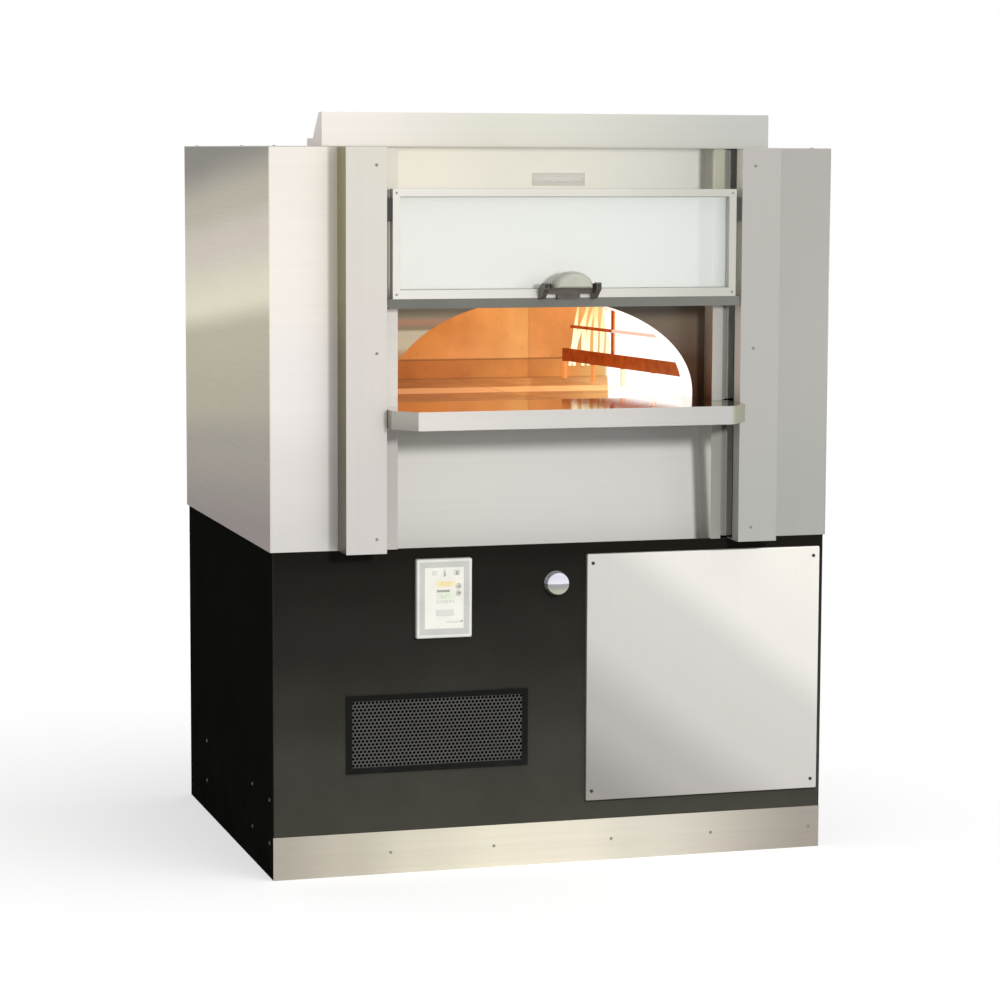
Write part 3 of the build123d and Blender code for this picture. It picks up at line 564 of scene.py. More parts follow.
@dataclass(frozen=True)
class BrushedSteel(Finish):
    """Brushed stainless sheet with soft folded edges, painted lighter as a highlight, and faint handling marks.

    The sheen is a painted reflection along the sheet, the jambs are the painted shade and reflection tones of the
    left and right flanges of the alcove, the flank is the painted reflection tone of the faces that look to the
    left, and polish is those faces' metallic share and roughness.
    """

    grain: Grain = Grain.ALONG_X
    metallic: float = 0.85
    contrast: float = 0.06
    edge: float = 0.0012
    flank: Sheen | None = None
    jambs: tuple[Colour, Colour] | None = None
    flange_front: float = -0.423
    flange_start: float = 0.38525
    polish: Pair | None = None
    metal: Sheen | None = None

    def turned(self, place: Field, tone: Any) -> Any:
        """Paint other tones on the jamb flanges and on the faces that look to the left, as painted shade and
        reflections.

        Args:
            place: The place on the object.
            tone: The tone of the front.

        Returns:
            The tone with both changes.
        """
        if self.jambs:
            across, depth, _ = place.axes()
            front = depth.below(self.flange_front)
            for side, jamb in zip((-1.0, 1.0), self.jambs):
                tone = (front * (across * side).above(self.flange_start, 0.00025)).mix(tone, jamb)
        if self.flank:
            tone = FLANK.use(place)["Mask"].mix(tone, self.flank.colour(place))
        return tone

    def lay(self, place: Field) -> dict[str, Any]:
        """Lay brush marks over the sheet's tone.

        Args:
            place: The place on the object.

        Returns:
            What feeds each input of the Principled shader.
        """
        brush = BRUSH.use(place, Stretch=self.grain.value)
        edge = EDGE.use(place, Radius=self.edge)
        # The folded edges are painted up to 12% lighter: a painted highlight along them.
        tone = brush["Tone"].spread(0.25, 0.75, 1.0 - self.contrast, 1.0 + self.contrast) + edge["Mask"] * 0.12
        rough = brush["Tone"].spread(0.25, 0.75, self.roughness - 0.05, self.roughness + 0.05)
        rough = rough + HANDS.use(place)["Mask"] * 0.07
        given = {"Base Color": tone.tint(self.turned(place, self.tone(place))), "Metallic": self.metallic}
        if self.metal:
            given |= {"Metallic": self.metal.colour(place), "Specular IOR Level": 0.0}
        if self.polish:
            side = FLANK.use(place)["Mask"]
            given["Metallic"] = side.between(self.metallic, self.polish[0])
            rough = rough + side * (self.polish[1] - rough)
        return given | {"Roughness": rough, "Normal": brush["Height"].bump(0.00003, edge["Normal"])}


@dataclass(frozen=True)
class ArchSteel(BrushedSteel):
    """Bright sheet round the arch, with painted reflections: the room's at its left and the dark bay's at its right.
    """

    far: Sheen | None = None

    def tone(self, place: Field) -> Field:
        """Pass from the left tones to the right ones over the crown of the arch."""
        near, far = self.sheen.colour(place), self.far.colour(place)
        return place.axes()[0].spread(-0.12, 0.12, 0.0, 1.0).mix(near, far)


@dataclass(frozen=True)
class MantleSteel(BrushedSteel):
    """The mantle's sheet, whose top is worn to a mirror by peels."""

    worn_rough: float = 0.07

    def lay(self, place: Field) -> dict[str, Any]:
        """Lay the brushed sheet and polish its top.

        Args:
            place: The place on the object.

        Returns:
            What feeds each input of the Principled shader.
        """
        worn = place.graph.facing()[2].spread(0.7, 0.95, 0.0, 1.0)
        return super().lay(place) | {"Roughness": worn.between(self.roughness, self.worn_rough),
                                     "Metallic": worn.between(self.metallic, 1.0)}


@dataclass(frozen=True)
class MirrorMetal(Finish):
    """Polished metal with a painted reflection: its tone follows how each place faces up or down."""

    stops: Stops = ()

    def lay(self, place: Field) -> dict[str, Any]:
        """Lay the painted reflection's tones over hairline scratches and finger marks.

        Args:
            place: The place on the object.

        Returns:
            What feeds each input of the Principled shader.
        """
        tone = (place.graph.facing()[2] + 0.5).clamped().ramp(self.stops)
        lines = place.stretched((1800.0, 1800.0, 60.0)).noise(1.0, 3.0, 0.6)
        hands = HANDS.use(place.scaled(6.0))["Mask"]
        return {"Base Color": lines.vary(0.96, 1.03).tint(tone), "Roughness": hands * 0.1 + self.roughness,
                "Metallic": 0.35, "Normal": lines.bump(0.000004)}


@dataclass(frozen=True)
class FireLitSteel(Finish):
    """Scaled, rusty steel near the flames, with the flames' light painted on as a glow below a height and a faint pink
    light in front.
    """

    scale: Colour = (0.05, 0.018, 0.008, 1.0)
    glow_top: float = 1.14
    strength: float = 1.3
    orange_from: float = 0.11
    pink_light_to: float = -1.0
    white_glow: Colour = (1.0, 0.93, 0.8, 1.0)
    orange_firelight: Colour = (0.86, 0.36, 0.1, 1.0)
    dull_firelight: Colour = (0.7, 0.12, 0.01, 1.0)
    painted_pink_light: Colour = (1.0, 0.72, 0.6, 1.0)

    def lay(self, place: Field) -> dict[str, Any]:
        """Lay scale over the steel and a painted glow of the flames' light under the height, paler towards the front.

        Args:
            place: The place on the object.

        Returns:
            What feeds each input of the Principled shader.
        """
        cast = MOTTLE.use(place, Fineness=26.0)
        _, depth, height = place.axes()
        low, away = height.below(self.glow_top), depth.above(self.orange_from, 0.05)
        pale = depth.below(self.pink_light_to, 0.004)
        glow = low.mix(self.dull_firelight, away.mix(self.white_glow, self.orange_firelight))
        faint = (1.0 - low) * pale.between(0.08, 0.75)
        return {"Base Color": cast["Tone"].spread(0.42, 0.68, 0.0, 0.6).mix(self.colour, self.scale),
                "Roughness": cast["Tone"].vary(self.roughness - 0.08, self.roughness + 0.1),
                "Emission Color": pale.mix(glow, self.painted_pink_light),
                "Emission Strength": faint + low * away.between(self.strength, 0.7),
                "Normal": cast["Height"].bump(0.0003, EDGE.use(place)["Normal"])}


@dataclass(frozen=True)
class PowderCoat(Finish):
    """Baked paint with orange peel, dust and bare metal at worn edges."""

    gloss: float = 0.4
    dust: Colour = (0.16, 0.15, 0.135, 1.0)
    dust_share: float = 0.35
    bare: Colour = (0.2, 0.195, 0.185, 1.0)
    wear: float = 0.5
    edge: float = 0.0012

    def lay(self, place: Field) -> dict[str, Any]:
        """Lay paint, dust and worn edges.

        Args:
            place: The place on the object.

        Returns:
            What feeds each input of the Principled shader.
        """
        edge = EDGE.use(place, Radius=self.edge)
        dust = DUST.use(place)["Mask"] * self.dust_share
        base = dust.mix(place.noise(5.0).vary(0.92, 1.08).tint(self.tone(place)), self.dust)
        rough = dust * 0.3 + HANDS.use(place)["Mask"] * 0.08 + self.roughness
        return {"Base Color": (edge["Mask"] * self.wear).clamped().mix(base, self.bare),
                "Roughness": rough.clamped(), "Specular IOR Level": self.gloss,
                "Normal": place.noise(420.0, 2.0, 0.4).bump(0.00006, edge["Normal"])}


@dataclass(frozen=True)
class CastMetal(Finish):
    """Cast, turned or plated metal with grain, grime in its hollows and bright edges."""

    metallic: float = 0.9
    fineness: float = 60.0
    depth: float = 0.0002
    bright: Colour = (0.5, 0.49, 0.47, 1.0)
    edge: float = 0.0008

    def lay(self, place: Field) -> dict[str, Any]:
        """Lay mottled metal with polished edges.

        Args:
            place: The place on the object.

        Returns:
            What feeds each input of the Principled shader.
        """
        cast = MOTTLE.use(place, Fineness=self.fineness)
        edge = EDGE.use(place, Radius=self.edge)
        return {"Base Color": edge["Mask"].mix(cast["Tone"].vary(0.8, 1.2).tint(self.colour), self.bright),
                "Roughness": cast["Tone"].vary(self.roughness - 0.06, self.roughness + 0.06),
                "Metallic": self.metallic, "Normal": cast["Height"].bump(self.depth, edge["Normal"])}


@dataclass(frozen=True)
class Moulded(Finish):
    """Moulded or printed plastic with a fine texture and slight yellowing."""

    grain: float = 700.0
    depth: float = 0.00005
    edge: float = 0.0006

    def lay(self, place: Field) -> dict[str, Any]:
        """Lay a fine texture over an uneven tone.

        Args:
            place: The place on the object.

        Returns:
            What feeds each input of the Principled shader.
        """
        edge = EDGE.use(place, Radius=self.edge)
        tone = place.noise(18.0).vary(0.95, 1.05) + edge["Mask"] * 0.08
        return {"Base Color": tone.tint(self.colour),
                "Roughness": HANDS.use(place)["Mask"] * 0.12 + self.roughness,
                "Normal": place.noise(self.grain, 2.0).bump(self.depth, edge["Normal"])}


@dataclass(frozen=True)
class Refractory(Finish):
    """Cast refractory with the fire's light painted on as a glow, and a darker lower course under a joint line."""

    lower: Sheen | None = None
    joint_height: float = 1.146
    joint: float = 0.003
    strength: float = 0.78
    white_glow: Colour = (1.0, 0.97, 0.9, 1.0)
    mouth: float = -0.24
    mouth_reach: float = 0.388
    room_reach: float = 0.48
    back_wall: float = 0.465
    white_jamb: float = 0.165
    white_wall: float = 0.412

    def inside(self, place: Field) -> Field:
        """Mask the room: over the hearth and between the inner faces of the walls.

        Args:
            place: The place on the object.

        Returns:
            The mask.
        """
        x, y, z = place.axes()
        reach = y.spread(self.mouth, self.mouth + 0.004, self.mouth_reach, self.room_reach)
        walls = (abs(x) - reach).most(y - self.back_wall)
        return walls.spread(-0.003, 0.0, 1.0, 0.0) * z.spread(1.09, 1.1, 0.0, 1.0)

    def white(self, place: Field) -> Field:
        """Mask the part behind the flames and the right jamb of the arch, where the flames' light is painted white.

        Args:
            place: The place on the object.

        Returns:
            The mask.
        """
        x, y, _ = place.axes()
        start = y.spread(self.mouth, self.mouth + 0.04, self.white_jamb, self.white_wall)
        return (x - start).spread(0.0, 0.012, 0.0, 1.0)

    def lay(self, place: Field) -> dict[str, Any]:
        """Lay the casting, its courses, soot and the painted firelight.

        Args:
            place: The place on the object.

        Returns:
            What feeds each input of the Principled shader.
        """
        cast = MOTTLE.use(place, Fineness=7.0)
        height = place.axes()[2]
        low = height.below(self.joint_height, 0.002)
        seam = abs(height - self.joint_height).spread(self.joint * 0.5, self.joint, 1.0, 0.0)
        lit = cast["Tone"].vary(0.9, 1.1).tint(low.mix(self.tone(place), self.lower.colour(place)))
        lit = seam.most(cast["Pits"] * 0.3).between(1.0, 0.5).tint(lit)
        white = self.white(place)
        return {"Base Color": (cast["Tone"].vary(0.85, 1.15) * low.between(1.0, 0.6)).tint(self.colour),
                "Roughness": self.roughness, "Emission Color": white.mix(lit, self.white_glow),
                "Emission Strength": white.between(self.strength, 1.15) * self.inside(place),
                "Normal": (cast["Height"] - seam).bump(0.0012)}


@dataclass(frozen=True)
class HearthStone(Finish):
    """The baking floor: large slabs with tight joints, scorched patches, a floured band and painted firelight."""

    slab: Pair = (0.44, 0.33)
    band: Pair = (-0.01, 0.18)
    floured: Colour = (0.62, 0.5, 0.32, 1.0)
    lit_flour: Colour = (0.72, 0.5, 0.26, 1.0)
    scorched: Colour = (0.16, 0.075, 0.03, 1.0)
    sooty: Colour = (0.08, 0.04, 0.02, 1.0)
    lit_joint: Colour = (0.1, 0.03, 0.01, 1.0)
    white_slope: float = 0.333
    white_from: float = 0.27

    def lay(self, place: Field) -> dict[str, Any]:
        """Lay slabs, joints, scorch, flour and the painted firelight.

        Args:
            place: The place on the object.

        Returns:
            What feeds each input of the Principled shader.
        """
        cast = MOTTLE.use(place, Fineness=11.0)
        joints = place.cells(self.slab, 0.0016, 0.2)
        x, y, z = place.axes()
        middle, half = sum(self.band) / 2, (self.band[1] - self.band[0]) / 2
        flour = abs(y - middle).spread(half * 0.8, half, 0.8, 0.0)
        base = cast["Tone"].vary(0.85, 1.15).tint(self.colour)
        base = place.noise(8.0, 5.0, 0.65).spread(0.5, 0.75, 0.0, 0.6).mix(base, self.scorched)
        lit = (flour * 0.35).mix(cast["Tone"].vary(0.88, 1.12).tint(self.tone(place)), self.lit_flour)
        white = (x - y * self.white_slope).above(self.white_from, 0.004)
        return {"Base Color": (joints * 0.6).mix(flour.mix(base, self.floured), self.sooty),
                "Roughness": self.roughness, "Emission Color": (joints * 0.5).mix(lit, self.lit_joint),
                "Emission Strength": z.spread(1.09, 1.094, 0.0, 1.0) * white.between(0.68, 1.15),
                "Normal": (cast["Height"] - joints).bump(0.0008)}


@dataclass(frozen=True)
class Wool(Finish):
    """Matted ceramic fibre."""

    def lay(self, place: Field) -> dict[str, Any]:
        """Lay tangled fibres.

        Args:
            place: The place on the object.

        Returns:
            What feeds each input of the Principled shader.
        """
        inputs = {"Vector": place, "Scale": 160.0, "Detail": 8.0, "Distortion": 2.5}
        tangle = place.graph.field("TexNoise", inputs)
        tone = tangle.vary(0.85, 1.05) + place.noise(6.0) * 0.06
        return {"Base Color": tone.tint(self.colour), "Roughness": self.roughness, "Normal": tangle.bump(0.004)}


@dataclass(frozen=True)
class DoorGlass(Finish):
    """Clear tempered glass with wiped smears and painted shade under its top bar and beside its right bar, open to
    shadow rays.
    """

    shade: Colour = (0.74, 0.8, 0.86, 1.0)
    shaded_above: float = 1.557
    shaded_beyond: float = 0.3755
    faint_shade_beyond: float = 0.354
    clear: Colour = (0.93, 0.96, 0.97, 1.0)

    def lay(self, place: Field) -> dict[str, Any]:
        """Lay the tint, the smears and the painted shade.

        Args:
            place: The place on the object.

        Returns:
            What feeds each input of the Principled shader.
        """
        smears = place.stretched((6.0, 6.0, 14.0)).noise(1.0, 6.0, 0.7)
        x, _, z = place.axes()
        # Painted shade: the glass is tinted darker under the top bar and beside the right bar.
        painted_shadow = z.above(self.shaded_above, 0.002).most(x.above(self.shaded_beyond, 0.0015))
        painted_shadow = painted_shadow.most(x.spread(self.faint_shade_beyond - 0.002, self.faint_shade_beyond + 0.002, 0.0, 0.3))
        return {"Base Color": painted_shadow.mix(smears.vary(0.97, 1.0).tint(self.colour), self.shade),
                "Roughness": smears.spread(0.45, 0.75, self.roughness, self.roughness + 0.08),
                "Transmission Weight": 1.0, "IOR": 1.5}

    def surface(self, graph: Graph, shader: bpy.types.Node) -> bpy.types.NodeSocket:
        """Let shadow and bounce rays through.

        Args:
            graph: The material's nodes.
            shader: Its Principled node.

        Returns:
            The glass, which is clear to those rays.
        """
        path = graph.node("LightPath").outputs
        way = graph.math("MAXIMUM", path["Is Shadow Ray"], path["Is Diffuse Ray"])
        clear = graph.node("BsdfTransparent", {"Color": self.clear}).outputs[0]
        return graph.node("MixShader", {0: way, 1: shader.outputs[0], 2: clear}).outputs[0]


@dataclass(frozen=True)
class LitPane(Finish):
    """Two display panes that glow evenly behind a faint grid, each in its own tint."""

    lower: Colour = (0.6, 0.7, 0.5, 1.0)
    parting: float = 0.67
    strength: float = 0.8

    def lay(self, place: Field) -> dict[str, Any]:
        """Lay a glow with a fine cell grid.

        Args:
            place: The place on the object.

        Returns:
            What feeds each input of the Principled shader.
        """
        x, _, z = place.axes()
        cells = place.graph.field("CombineXYZ", {0: x, 1: z}).cells((0.0012, 0.0012), 0.0001)
        lit = cells.between(1.0, 0.82).tint(z.above(self.parting).mix(self.lower, self.colour))
        lit = place.noise(40.0, 2.0).vary(0.93, 1.05).tint(lit)
        return {"Base Color": lit.scaled(0.5), "Emission Color": lit, "Emission Strength": self.strength,
                "Roughness": self.roughness}


@dataclass(frozen=True)
class Flame(Finish):
    """Gas flame: white along the burner, and yellow with clear tips where it spreads over the back wall."""

    foot: float = 1.127
    tip: float = 1.36
    white_to: float = 0.395
    white_glow: Colour = (1.0, 0.99, 0.95, 1.0)
    stops: Stops = ((0.0, 255, 243.4, 206.4), (0.4, 255, 241.0, 187.5), (0.75, 255, 233.6, 161.7),
                    (1.0, 255, 217.8, 129.1))

    def lay(self, place: Field) -> dict[str, Any]:
        """Lay the flame's colours and its thinning.

        Args:
            place: The place on the object.

        Returns:
            What feeds each input of the Principled shader.
        """
        _, depth, height = place.axes()
        lick = place.stretched((30.0, 30.0, 9.0)).noise(1.0, 4.0, 0.6)
        share = (height.spread(self.foot, self.tip, 0.0, 1.0) + (lick - 0.5) * 0.5).clamped()
        return {"Base Color": (0.0, 0.0, 0.0, 1.0), "Roughness": 1.0, "Specular IOR Level": 0.0,
                "Emission Color": depth.below(self.white_to, 0.01).mix(share.ramp(self.stops), self.white_glow),
                "Emission Strength": share.between(1.35, 1.0), "Alpha": share.spread(0.5, 1.0, 0.85, 0.1)}


@dataclass(frozen=True)
class WireRope(Finish):
    """Laid steel wire, with its strands as slanting ridges."""

    def lay(self, place: Field) -> dict[str, Any]:
        """Lay slanting strands.

        Args:
            place: The place on the object.

        Returns:
            What feeds each input of the Principled shader.
        """
        inputs = {"Vector": place.stretched((1.0, 1.0, 0.45)), "Scale": 160.0, "Distortion": 0.6}
        strands = place.graph.field("TexWave", inputs, "Fac", bands_direction="DIAGONAL")
        return {"Base Color": strands.between(0.45, 1.1).tint(self.colour), "Metallic": 0.9,
                "Roughness": strands.between(self.roughness + 0.2, self.roughness),
                "Normal": strands.bump(0.0006)}


def stand(name: str, data: Any, place: Matrix | None = None) -> bpy.types.Object:
    """Make an object of its data, stand it at a place and link it to the scene.

    Args:
        name: Its name.
        data: Its mesh, lamp or camera.
        place: The matrix that places it.

    Returns:
        The new object.
    """
    made = bpy.data.objects.new(name, data)
    if place is not None:
        made.matrix_world = place
    bpy.context.scene.collection.objects.link(made)
    return made


def rectangle(width: float, height: float) -> list[Pair]:
    """Give the corners of a rectangle round the origin."""
    half, tall = width / 2, height / 2
    return [(-half, -tall), (half, -tall), (half, tall), (-half, tall)]


class Shape:
    """A mesh that is being made from turned, extruded and swept pieces."""

    def __init__(self) -> None:
        """Start with an empty mesh."""
        self.mesh = bmesh.new()

    def skin(self, rows: list[list[Vector]], capped: bool = True) -> None:
        """Stretch a skin over closed rows of points.

        Args:
            rows: The rows, each with as many points.
            capped: Whether the first and last rows are filled.
        """
        rings = [[self.mesh.verts.new(point) for point in row] for row in rows]
        count = len(rings[0])
        for low, high in zip(rings, rings[1:]):
            for i in range(count):
                j = (i + 1) % count
                self.mesh.faces.new((low[i], low[j], high[j], high[i]))
        if capped:
            self.mesh.faces.new(rings[0][::-1])
            self.mesh.faces.new(rings[-1])

    def lathe(self, profile: list[Pair], place: Matrix, turns: int = 32, sides: int = 0) -> None:
        """Turn a profile round the place's own Z.

        Args:
            profile: Radius and height of each ring.
            place: Where it stands.
            turns: How many points a ring has.
            sides: The flats that negative radii are cut to, such as 6 for a hexagon.
        """
        rows = []
        for radius, height in profile:
            row = []
            for i in range(turns):
                angle = 2 * math.pi * i / turns
                reach = abs(radius)
                if radius < 0 and sides:
                    part = math.pi / sides
                    reach *= math.cos(part) / math.cos(angle % (2 * part) - part)
                row.append(place @ Vector((reach * math.cos(angle), reach * math.sin(angle), height)))
            rows.append(row)
        self.skin(rows)

    def prism(self, outline: list[Pair], depth: float, place: Matrix, edge: float = 0.0) -> None:
        """Raise an outline along the place's own Z, with rounded edges.

        Args:
            outline: Points in the place's own X and Y.
            depth: How far it rises.
            place: Where it stands.
            edge: The rounding of all its edges.
        """
        before = set(self.mesh.edges)
        self.skin([[place @ Vector((x, y, z)) for x, y in outline] for z in (0.0, depth)])
        fresh = [item for item in self.mesh.edges if item not in before]
        if edge > 0:
            bmesh.ops.bevel(self.mesh, geom=fresh, offset=edge, segments=2, profile=0.5, affect="EDGES")

    def slab(self, low: Triple, high: Triple, edge: float) -> None:
        """Add a block with rounded edges between two corners."""
        outline = [(low[0], low[1]), (high[0], low[1]), (high[0], high[1]), (low[0], high[1])]
        self.prism(outline, high[2] - low[2], Matrix.Translation((0, 0, low[2])), edge)

    def tube(self, path: list[Vector], radius: float, sides: int = 12) -> None:
        """Sweep a round bar along a path.

        Args:
            path: The middle of the bar.
            radius: Its radius.
            sides: The points of a ring.
        """
        rows = []
        for i, point in enumerate(path):
            ahead = path[min(i + 1, len(path) - 1)] - path[max(i - 1, 0)]
            turn = ahead.to_track_quat("Z", "Y").to_matrix()
            angles = [2 * math.pi * k / sides for k in range(sides)]
            rows.append([point + turn @ Vector((radius * math.cos(a), radius * math.sin(a), 0)) for a in angles])
        self.skin(rows)

    def screw(self, place: Triple, facing: Facing, radius: float) -> None:
        """Add a round head with a hexagon socket.

        Args:
            place: Where it is seated.
            facing: The way that it faces.
            radius: The radius of its head.
        """
        tall = radius * 0.55
        head = [(radius, -0.0002), (radius, tall * 0.35), (radius * 0.9, tall * 0.75), (radius * 0.68, tall),
                (-radius * 0.5, tall), (-radius * 0.46, tall * 0.25), (radius * 0.05, tall * 0.2)]
        self.lathe(head, facing.at(place), 24, 6)

    def screws(self, places: list[Triple], facing: Facing, radius: float) -> "Shape":
        """Add a screw at each place, and give the shape back.

        Args:
            places: Where they are seated.
            facing: The way that they face.
            radius: The radius of their heads.

        Returns:
            This shape.
        """
        for place in places:
            self.screw(place, facing, radius)
        return self

    def piece(self, name: str, finish: Finish, body: str, slot: str, smooth: bool = True) -> bpy.types.Object:
        """Make the object, give it its finish and set it riding.

        Args:
            name: The piece's name.
            finish: Its finish.
            body: The body that it moves with.
            slot: The record's material slot; not used.
            smooth: Whether its shading is smooth across soft edges.

        Returns:
            The new object.
        """
        bmesh.ops.recalc_face_normals(self.mesh, faces=self.mesh.faces)
        data = bpy.data.meshes.new(name)
        self.mesh.to_mesh(data)
        self.mesh.free()
        if smooth:
            data.shade_smooth()
            data.set_sharp_from_angle(angle=math.radians(38))
        data.materials.append(finish.material())
        made = stand(name, data)
        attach(made, body)
        log.info("%s has %d faces and rides on %s", name, len(data.polygons), body)
        return made


@dataclass
class Assembly:
    """A group of sub-parts that is dressed together."""

    nodes: dict[str, bpy.types.Object]

    def dress(self, finish: Finish, *names: str) -> None:
        """Give packed sub-parts a finish.

        Args:
            finish: The finish.
            *names: The sub-parts that it goes on.
        """
        for name in names:
            data = self.nodes[name].data
            data.materials.clear()
            data.materials.append(finish.material())
            log.info("%s is finished in %s", name, finish.name)


BLACK_PAINT = screen(26, 26, 24)
SCREW_STEEL = CastMetal("screw_steel", screen(150, 148, 142), 0.35, edge=0.0003)
DARK_SCREW = CastMetal("blackened_screw", screen(70, 69, 66), 0.45, edge=0.0003)


@dataclass
class Stand(Assembly):
    """The dark stand with its grille, service cover and kick plate."""

    grille_centre: Pair = (-0.286, 0.335)
    grille_size: Pair = (0.414, 0.157)
    hole_pitch: float = 0.0095
    hole_share: float = 0.36
    louvre_rows: int = 8
    louvre_pitch: float = 0.03
    louvre_foot: float = 0.419
    louvre_size: Pair = (0.32, 0.013)
    louvre_reach: float = 0.0042
    louvre_skin: float = 0.0009
    kick_screws: tuple[float, ...] = (-0.4, -0.147, 0.146, 0.4, 0.654)
    kick_screw_height: float = 0.051
    side_screws: tuple[tuple[float, ...], Pair] = ((-0.382, -0.191, 0.367), (0.082, 0.185))

    def finishes(self) -> None:
        """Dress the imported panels."""
        # Painted reflection of the floor: the black front is painted lighter towards the bottom.
        front = Sheen(UP, 0.08, 0.76, ((0.0, 70, 69, 61), (0.26, 63, 62, 56), (0.47, 53, 51, 46), (0.68, 42, 41, 37),
                                       (0.9, 33, 31, 27), (1.0, 26, 24, 20)), 0.03)
        self.dress(PowderCoat("black_front_paint", roughness=0.42, sheen=front, gloss=0.03, dust_share=0.1),
                   "stand_front_panel")
        self.dress(PowderCoat("black_side_paint", screen(28, 29, 26), gloss=0.0, dust_share=0.05, wear=0.2),
                   "stand_left_panel", "stand_right_panel")
        self.dress(PowderCoat("black_frame_paint", BLACK_PAINT, gloss=0.2),
                   "stand_back_panel", "stand_frame", "stand_deck")
        self.dress(PowderCoat("grille_border_paint", screen(16, 16, 14), gloss=0.1, wear=0.2), "grille_frame")
        # Painted sheen: the kick plate is painted lightest near its middle and darker at its ends.
        kick = Sheen(ACROSS, -0.68, 0.68, ((0.0, 180, 173, 161), (0.13, 202, 195, 179), (0.26, 223, 217, 198),
                                           (0.4, 237, 231, 210), (0.55, 235, 228, 210), (0.66, 221, 215, 201),
                                           (1.0, 164, 156, 146)), 0.04)
        self.dress(BrushedSteel("kick_plate_steel", roughness=0.36, sheen=kick, metallic=0.6), "kick_plate")
        # Painted sheen: the cover is painted lighter towards its top right and darker towards its bottom left.
        cover = Sheen((0.6, 0.0, 0.8), 0.2, 0.95, ((0.0, 154, 150, 146), (0.22, 182, 178, 174), (0.42, 208, 204, 199),
                                                   (0.6, 211, 208, 203), (0.75, 235, 231, 225), (1.0, 241, 237, 229)),
                      0.05)
        self.dress(BrushedSteel("cover_steel", roughness=0.36, grain=Grain.ALONG_Z, sheen=cover, metallic=0.6,
                                contrast=0.02, edge=0.002), "access_panel")

    def grille(self) -> None:
        """Build the perforated sheet as staggered round holes in six-sided cells."""
        shape = Shape()
        front, back = (corner.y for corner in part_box("grille_mesh"))
        across, up = self.hole_pitch, self.hole_pitch * math.sqrt(3) / 2
        columns, rows = (int(size / step / 2) + 1 for size, step in zip(self.grille_size, (across, up)))
        hole = across * self.hole_share
        for row in range(-rows, rows + 1):
            for column in range(-columns, columns + 1):
                x = self.grille_centre[0] + (column + (row % 2) / 2) * across
                z = self.grille_centre[1] + row * up
                lines: list[list[Vector]] = [[], [], []]
                for k in range(12):
                    angle = math.pi / 6 * k
                    reach = across / math.sqrt(3) if k % 2 else across / 2
                    for line, radius, y in zip(lines, (reach, hole, hole), (front, front, back)):
                        line.append(Vector((x + radius * math.cos(angle), y, z + radius * math.sin(angle))))
                shape.skin(lines, capped=False)
        bmesh.ops.remove_doubles(shape.mesh, verts=shape.mesh.verts, dist=0.00005)
        paint = PowderCoat("grille_sheet_paint", screen(74, 73, 71), gloss=0.3, wear=0.0, edge=0.0002)
        made = shape.piece("perforated_sheet", paint, "oven", "grille_mesh", smooth=False)
        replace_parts(made, "grille_mesh")

    def louvres(self) -> None:
        """Build the pressed hoods over the slots of the back panel."""
        shape = Shape()
        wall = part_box("stand_back_panel")[1].y - 0.0003
        length, tall = self.louvre_size
        for row in range(self.louvre_rows):
            lines = []
            for i in range(25):
                across = -1 + 2 * i / 24
                bulge = max(0.0, 1 - abs(across) ** 6) ** 0.5
                line = []
                for skin, way in ((0.0, 1), (self.louvre_skin, -1)):
                    for angle in [math.pi / 2 * k / 5 for k in range(6)][::way]:
                        reach = max((self.louvre_reach - skin) * bulge * math.cos(angle), 0.0)
                        rise = self.louvre_foot + row * self.louvre_pitch + (tall - skin) * math.sin(angle)
                        line.append(Vector((across * length / 2, wall + reach, rise)))
                lines.append(line)
            shape.skin(lines)
        shape.piece("louvre_hoods", PowderCoat("louvre_paint", BLACK_PAINT, gloss=0.2), "oven", "stand_back_panel")

    def screws(self) -> None:
        """Set the screws of the kick plate, the cover and the side panels."""
        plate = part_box("kick_plate")[0].y
        kick = Shape().screws([(x, plate, self.kick_screw_height) for x in self.kick_screws], Facing.FRONT, 0.0036)
        low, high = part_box("access_panel")
        cover = Shape().screws([(x, low.y, z) for x in (low.x + 0.014, high.x - 0.016)
                                for z in (low.z + 0.023, high.z - 0.022)], Facing.FRONT, 0.0042)
        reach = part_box("stand_right_panel")[1].x
        sides = Shape()
        for x, facing in ((-reach, Facing.LEFT), (reach, Facing.RIGHT)):
            sides.screws([(x, y, z) for y in self.side_screws[0] for z in self.side_screws[1]], facing, 0.0045)
        kick.piece("kick_plate_screws", SCREW_STEEL, "oven", "kick_plate")
        cover.piece("cover_screws", DARK_SCREW, "oven", "access_panel")
        sides.piece("side_panel_screws", DARK_SCREW, "oven", "stand_left_panel")

    def build(self) -> None:
        """Build and dress the stand."""
        self.finishes()
        self.grille()
        self.louvres()
        self.screws()


class Digit(Enum):
    """The lit bars of the digits that the displays show, from the top bar clockwise, the middle one last."""

    ZERO = (1, 1, 1, 1, 1, 1, 0)
    TWO = (1, 1, 0, 1, 1, 0, 1)
    FIVE = (1, 0, 1, 1, 0, 1, 1)
    SIX = (1, 0, 1, 1, 1, 1, 1)


